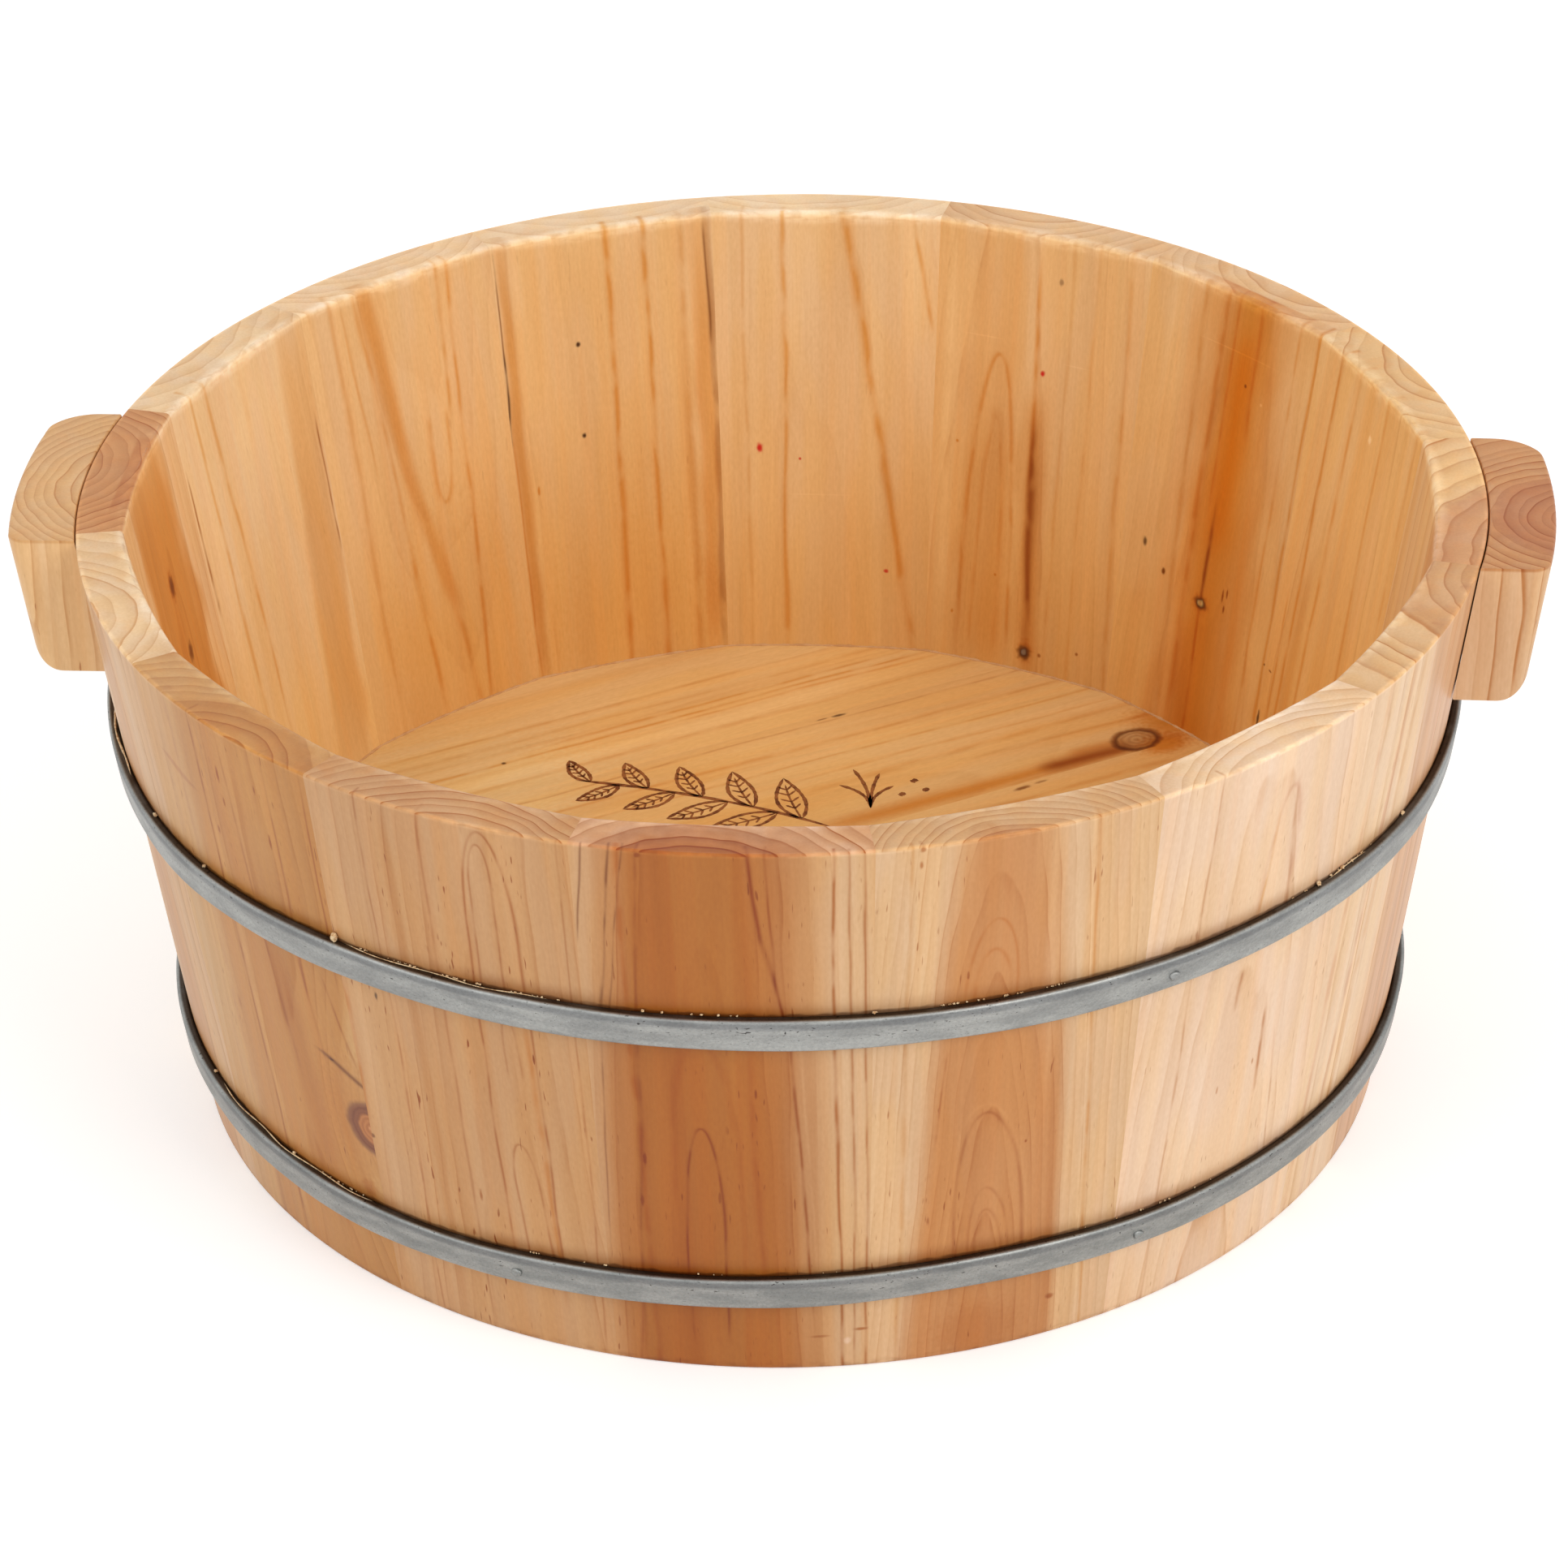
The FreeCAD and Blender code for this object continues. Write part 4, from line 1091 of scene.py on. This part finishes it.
def makeSpeckled(name, look):
    # a dull material whose colour goes from one tone to its shade in small patches
    material = newMaterial(name)
    patch = noise(scaled(objectPlace(), 1000.0), look["patchSize"], 3.0, 0.65)
    colour = mixed(ramp(patch, 0.42, 0.64), look["colour"], tinted(1.0, look["colour"], look["shade"]))
    bump = put("ShaderNodeBump", {"Height": patch, "Strength": 0.5, "Distance": 0.0003})
    shader = put("ShaderNodeBsdfPrincipled", {
        "Base Color": colour, "Roughness": 0.65, "Normal": bump, "Specular IOR Level": 0.3,
    })
    node("ShaderNodeOutputMaterial", {"Surface": shader})
    return material


# Wood dust and slivers left on the top edges of the hoops
crumbs = {
    "colour": paint(232, 205, 164),
    "shade": (0.62, 0.46, 0.34),
    "patchSize": (1.2, 1.2, 1.2),
    "seed": 7,
    # hoop, azimuth, half length, half height, half width
    "chips": (
        ("upper", -38.4, 1.1, 1.5, 1.0), ("upper", 47.2, 1.1, 0.9, 0.9), ("upper", 50.6, 0.8, 0.5, 0.6),
        ("upper", 52.0, 0.6, 0.4, 0.5), ("upper", 61.0, 0.8, 0.6, 0.6), ("upper", -64.8, 0.9, 0.5, 0.6),
        ("upper", -55.2, 0.7, 0.5, 0.6), ("upper", -11.4, 0.5, 0.45, 0.5), ("upper", -9.9, 0.4, 0.35, 0.4),
        ("upper", -7.6, 0.4, 0.35, 0.4), ("upper", 6.4, 0.7, 0.4, 0.5), ("lower", -50.6, 0.7, 0.5, 0.5),
        ("lower", -66.0, 0.8, 0.5, 0.6),
    ),
    # hoop, from azimuth, to azimuth, how many small ones
    "dust": (("upper", -36.0, -18.0, 34), ("upper", 10.0, 22.0, 22), ("upper", 44.0, 56.0, 12),
             ("upper", -10.0, -4.0, 5), ("lower", -47.0, -41.0, 8), ("lower", 24.0, 40.0, 10),
             ("lower", -24.0, 6.0, 12)),
    # hoop, from azimuth, to azimuth, radius
    "slivers": (("upper", -85.0, -71.5, 0.30), ("lower", -64.0, -40.0, 0.16),
                ("upper", -37.5, -19.0, 0.13), ("upper", 48.5, 54.0, 0.18)),
    "rows": 5,  # of a crumb's points, and how many in each
    "columns": 7,
    "steps": 60,  # along a sliver, and round it
    "sides": 6,
}


def makeCrumbs():
    # each crumb is a ball of (latitude, longitude) whose radius is scaled by a random factor
    # for each point, stretched to its three half sizes; each sliver is a thin tube carried
    # along the hoop, with ends that close and a radius that wavers
    random = np.random.default_rng(crumbs["seed"])
    chips = list(crumbs["chips"])
    for hoopName, first, last, count in crumbs["dust"]:
        for azimuth, size in zip(random.uniform(first, last, count), random.uniform(0.12, 0.34, count)):
            chips.append((hoopName, azimuth, size * 1.3, size, size))
    rise = np.array([hoopHeight(hoops[chip[0]], chip[1]) for chip in chips])[:, None, None]
    azimuth, *half = (np.array([chip[part] for chip in chips])[:, None, None] for part in (1, 2, 3, 4))
    shape = (crumbs["rows"], crumbs["columns"])
    latitude = np.linspace(-np.pi / 2 + 0.02, np.pi / 2 - 0.02, shape[0])[None, :, None]
    longitude = around(shape[1])[None]
    lump = random.uniform(0.45, 1.25, (len(chips), *shape))
    across = half[0] * lump * np.cos(latitude) * np.cos(longitude)
    outward = half[2] * (0.9 + lump * np.cos(latitude) * np.sin(longitude)) + 0.15
    upward = bar["depth"] / 2 + half[1] * (0.7 + lump * np.sin(latitude))
    turn = azimuth + np.degrees(across / steel["unrolled"])
    points = [wallPoint(turn, rise + 0.0 * turn, outward, upward).reshape(-1, 3)]
    size = shape[0] * shape[1]
    faces = [gridFaces(*shape, False, True) + index * size for index in range(len(chips))]
    start = len(chips) * size
    turn = around(crumbs["sides"])
    for hoopName, first, last, thickness in crumbs["slivers"]:
        azimuth = np.linspace(first, last, crumbs["steps"])[:, None]
        ends = np.clip(np.minimum(azimuth - first, last - azimuth) / 1.5, 0.03, 1.0)
        radius = thickness * ends * (1.0 + 0.35 * np.sin(azimuth * 2.3) * np.sin(azimuth * 0.9))
        outward = 0.9 + 0.35 * np.sin(azimuth * 0.7) + radius * np.sin(turn)
        upward = bar["depth"] / 2 + thickness * (0.8 + 0.5 * np.sin(azimuth * 1.1)) + radius * np.cos(turn)
        height = hoopHeight(hoops[hoopName], azimuth) + 0.0 * turn
        points.append(wallPoint(azimuth + 0.0 * turn, height, outward, upward).reshape(-1, 3))
        faces.append(gridFaces(crumbs["steps"], crumbs["sides"], False, True)[:, ::-1] + start)
        start += crumbs["steps"] * crumbs["sides"]
    meshPiece("wood_crumbs", np.concatenate(points), np.concatenate(faces),
              makeSpeckled("crumb_wood", crumbs), "stave_wood", False)


makeCrumbs()

# Bead of glue in the corner between the bottom and the staves
glue = {
    "colour": paint(214, 168, 118),
    "shade": (0.88, 0.80, 0.70),
    "patchSize": (5.0, 5.0, 2.0),
    "radius": 0.42,
    "staveCentre": 150.0,  # the inner face of a stave is an arc about a point this far off
    "staveSquare": 75845.0,  # its radius squared less that distance squared, at the floor
    "steps": 1440,
    "sides": 8,
}


def makeGlueBead():
    # a tube carried round the corner, where a stave's inner face lies at the radius
    # sqrt(s + (c cos a)^2) - c cos a for the azimuth a from the stave's middle; its own
    # radius wavers with the azimuth
    azimuth = np.linspace(0.0, 360.0, glue["steps"], endpoint=False)[:, None]
    step = (azimuth - tub["firstStave"] + staveAngle / 2) % staveAngle - staveAngle / 2
    reach = glue["staveCentre"] * np.cos(np.radians(step))
    corner = np.sqrt(glue["staveSquare"] + reach ** 2) - reach
    waver = np.sin(azimuth * 1.9) * np.sin(azimuth * 0.63) + 0.5 * np.sin(azimuth * 5.1 + 2.0)
    radius = glue["radius"] * (1.0 + 0.35 * waver)
    side = around(glue["sides"])
    distance = corner - 0.15 + radius * np.cos(side)
    turn = np.radians(azimuth)
    level = tub["floorTop"] + 0.05 + radius * np.sin(side)
    points = np.stack([distance * np.sin(turn), -distance * np.cos(turn), level], -1)
    meshPiece("glue_bead", points, gridFaces(glue["steps"], glue["sides"], True, True),
              makeSpeckled("glue", glue), "bottom_wood")


makeGlueBead()

# A leafy twig and a tuft of grass burnt into the bottom. Their places are millimetres on
# the bottom, with +Y away from the front.
drawing = {
    "colour": paint(152, 92, 46),
    "shade": (0.46, 0.34, 0.27),
    "patchSize": (3.0, 3.0, 3.0),
    "width": 1.15,
    "rise": 0.06,
    "twig": ((14.0, 49.0), (-20.0, 70.0), (-66.0, 80.0)),  # from, bend, to
    "leaves": 9,
    "leafLength": 25.0,
    "leafWidth": 8.6,
    "veins": (0.28, 0.44, 0.60, 0.74),  # their places along the midrib
    "tuft": (26.0, 60.0),
    "blades": ((-34.0, 17.0), (-12.0, 24.0), (9.0, 21.0), (30.0, 15.0)),  # turn, length
    "dots": ((40.0, 76.0), (43.5, 70.5), (36.0, 68.0)),
}


def strokeLine(line, width):
    # a flat stroke along a line of points: its cross section is a low box whose width goes
    # with the sine of the way along, so that both ends close, and wavers a little
    way = np.linspace(0.0, 1.0, len(line))[:, None]
    run = np.gradient(line, axis=0)
    run = run / np.linalg.norm(run, axis=1)[:, None]
    side = np.stack([-run[:, 1], run[:, 0]], 1)
    half = width / 2 * np.clip(np.sin(np.pi * way) * 4.0, 0.04, 1.0)
    half = half * (1.0 + 0.25 * np.sin(way * 37.0 + line[0, 0]) * np.sin(way * 17.0))
    corners = np.array([(1.0, -0.3), (1.0, drawing["rise"]), (-1.0, drawing["rise"]), (-1.0, -0.3)])
    flat = line[:, None] + side[:, None] * half[:, None] * corners[None, :, :1]
    level = tub["floorTop"] + corners[None, :, 1:] + 0.0 * flat[..., :1]
    return np.concatenate([flat, level], 2)


def bendLine(first, middle, last, count):
    # the quadratic curve (1-t)^2 a + 2 t (1-t) b + t^2 c
    way = np.linspace(0.0, 1.0, count)[:, None]
    first, middle, last = (np.array(part, float) for part in (first, middle, last))
    return (1 - way) ** 2 * first + 2 * way * (1 - way) * middle + way ** 2 * last


def leafLines(foot, turn, length, width):
    # two outlines that part and meet as sin(pi t), a midrib, and short veins
    ahead = np.array([math.cos(turn), math.sin(turn)])
    aside = np.array([-ahead[1], ahead[0]])
    way = np.linspace(0.0, 1.0, 32)[:, None]
    belly = width / 2 * np.sin(np.pi * way ** 0.85)
    spine = foot + ahead * length * way + aside * 0.8 * np.sin(np.pi * way)
    lines = [spine + aside * belly, spine - aside * belly, spine[:27]]
    for share in drawing["veins"]:
        start = spine[int(share * 31)]
        for hand in (1.0, -1.0):
            tip = start + ahead * length * 0.10 + aside * hand * width * 0.36 * math.sin(math.pi * share)
            lines.append(np.linspace(start, tip, 6))
    return lines


def makeDrawing():
    twig = bendLine(*drawing["twig"], 60)
    strokes = [(twig, drawing["width"] * 1.2)]
    heading = np.gradient(twig, axis=0)
    for index in range(drawing["leaves"]):
        spot = int(8 + index * 48 / (drawing["leaves"] - 1))
        turn = math.atan2(heading[spot, 1], heading[spot, 0]) + (0.85 if index % 2 else -0.85)
        size = 1.0 - 0.05 * index
        lines = leafLines(twig[spot], turn, drawing["leafLength"] * size, drawing["leafWidth"] * size)
        strokes += [(line, drawing["width"] * (1.0 if number < 2 else 0.6))
                    for number, line in enumerate(lines)]
    foot = np.array(drawing["tuft"])
    for turn, length in drawing["blades"]:
        rise = math.radians(90.0 - turn)
        tip = foot + length * np.array([math.cos(rise), math.sin(rise)])
        strokes.append((bendLine(foot, foot + np.array([0.0, length * 0.55]), tip, 24), drawing["width"]))
    for dot in drawing["dots"]:
        strokes.append((np.linspace(np.array(dot) - 0.9, np.array(dot) + 0.9, 8), 1.9))
    points = [strokeLine(line, width) for line, width in strokes]
    starts = np.cumsum([0] + [len(part) * 4 for part in points])
    faces = [gridFaces(len(part), 4, False, True) + start for part, start in zip(points, starts)]
    meshPiece("burnt_twig", np.concatenate([part.reshape(-1, 3) for part in points]),
              np.concatenate(faces), makeSpeckled("burnt_wood", drawing),
              "bottom_wood", False)


makeDrawing()
print("crumbs, glue and drawing made")

# Pins and dowels inside the wood
pinLook = {"pith": (0.0, 8.0), "spacing": 2.0, "sapwood": paint(222, 190, 150),
           "heartwood": paint(*softHeart), "contrast": 0.4, "seed": 40.0}
pinMaterial = woodMaterial("pin_wood", pinLook, 0.0, (0.0, 0.0, 0.0))
for name in ("bottom_board_dowels", "upper_stave_pins", "lower_stave_pins",
             "right_handle_dowels", "left_handle_dowels"):
    finishWith(nodes[name], pinMaterial)

# Camera, as the photograph was taken
view = {
    "lens": 114.99,
    "sensor": 36.0,
    "place": (-0.00074, -1.26665, 0.84314),
    "elevation": 31.054,
    "roll": -1.053,
}


def placeCamera():
    data = bpy.data.cameras.new("camera")
    data.lens = view["lens"]
    data.sensor_width = view["sensor"]
    camera = addObject("camera", data)
    camera.matrix_world = (
        Matrix.Translation(view["place"])
        @ Matrix.Rotation(math.radians(90.0 - view["elevation"]), 4, "X")
        @ Matrix.Rotation(math.radians(view["roll"]), 4, "Z")
    )
    bpy.context.scene.camera = camera


placeCamera()

# Pale floor, white surroundings and soft studio lamps
studio = {
    "worldStrength": 0.74,
    "floorColour": 0.86,
    "floorGlow": 0.36,  # seen by the camera and in reflections only
    "floorSize": 8.0,
    "target": (0.0, 0.0, 0.1),
    "lamps": [
        # name, place, size, power, tint
        ("key", (1.5, -1.6, 1.6), 1.5, 21.0, (1.0, 0.98, 0.95)),
        ("fill", (-1.6, -1.2, 1.5), 1.8, 10.0, (0.98, 0.99, 1.0)),
    ],
}


def aimAt(place, target):
    # rotation that turns a lamp's -Z towards the target
    forward = np.subtract(target, place).astype(float)
    forward /= np.linalg.norm(forward)
    sideways = np.cross(forward, (0.0, 0.0, 1.0))
    sideways /= np.linalg.norm(sideways)
    return Matrix(np.stack([sideways, np.cross(sideways, forward), -forward], 1).tolist()).to_euler()


def seenRays():
    # 1 for the rays of the camera, reflections and refractions
    rays = [put("ShaderNodeLightPath", (), "Is %s Ray" % kind)
            for kind in ("Camera", "Glossy", "Transmission")]
    return calc("MAXIMUM", calc("MAXIMUM", rays[0], rays[1]), rays[2])


def lightStudio():
    world = bpy.data.worlds.new("surroundings")
    bpy.context.scene.world = world
    world.use_nodes = True
    world.node_tree.nodes.clear()
    building["tree"] = world.node_tree
    plain, white = (put("ShaderNodeBackground", {"Color": (1.0, 1.0, 1.0), "Strength": strength})
                    for strength in (studio["worldStrength"], 1.0))
    node("ShaderNodeOutputWorld", {"Surface": put("ShaderNodeMixShader", (seenRays(), plain, white))})
    for name, place, size, power, tint in studio["lamps"]:
        data = bpy.data.lights.new(name, "AREA")
        data.shape = "DISK"
        data.size = size
        data.energy = power
        data.color = tint
        lamp = addObject(name, data)
        lamp.location = place
        lamp.rotation_euler = aimAt(place, studio["target"])


def layFloor():
    half = studio["floorSize"] / 2
    mesh = bpy.data.meshes.new("studio_floor")
    mesh.from_pydata([(-half, -half, 0), (half, -half, 0), (half, half, 0), (-half, half, 0)], [],
                     [(0, 1, 2, 3)])
    mesh.materials.append(newMaterial("studio_floor"))
    matt = put("ShaderNodeBsdfDiffuse", {"Color": (studio["floorColour"],) * 3})
    glow = put("ShaderNodeEmission", {"Color": (1.0, 1.0, 1.0),
                                      "Strength": seenRays() * studio["floorGlow"]})
    node("ShaderNodeOutputMaterial", {"Surface": put("ShaderNodeAddShader", (matt, glow))})
    floor = addObject("studio_floor", mesh)


lightStudio()
layFloor()
bpy.context.scene.view_settings.view_transform = "Standard"
print("camera, lamps and floor set")
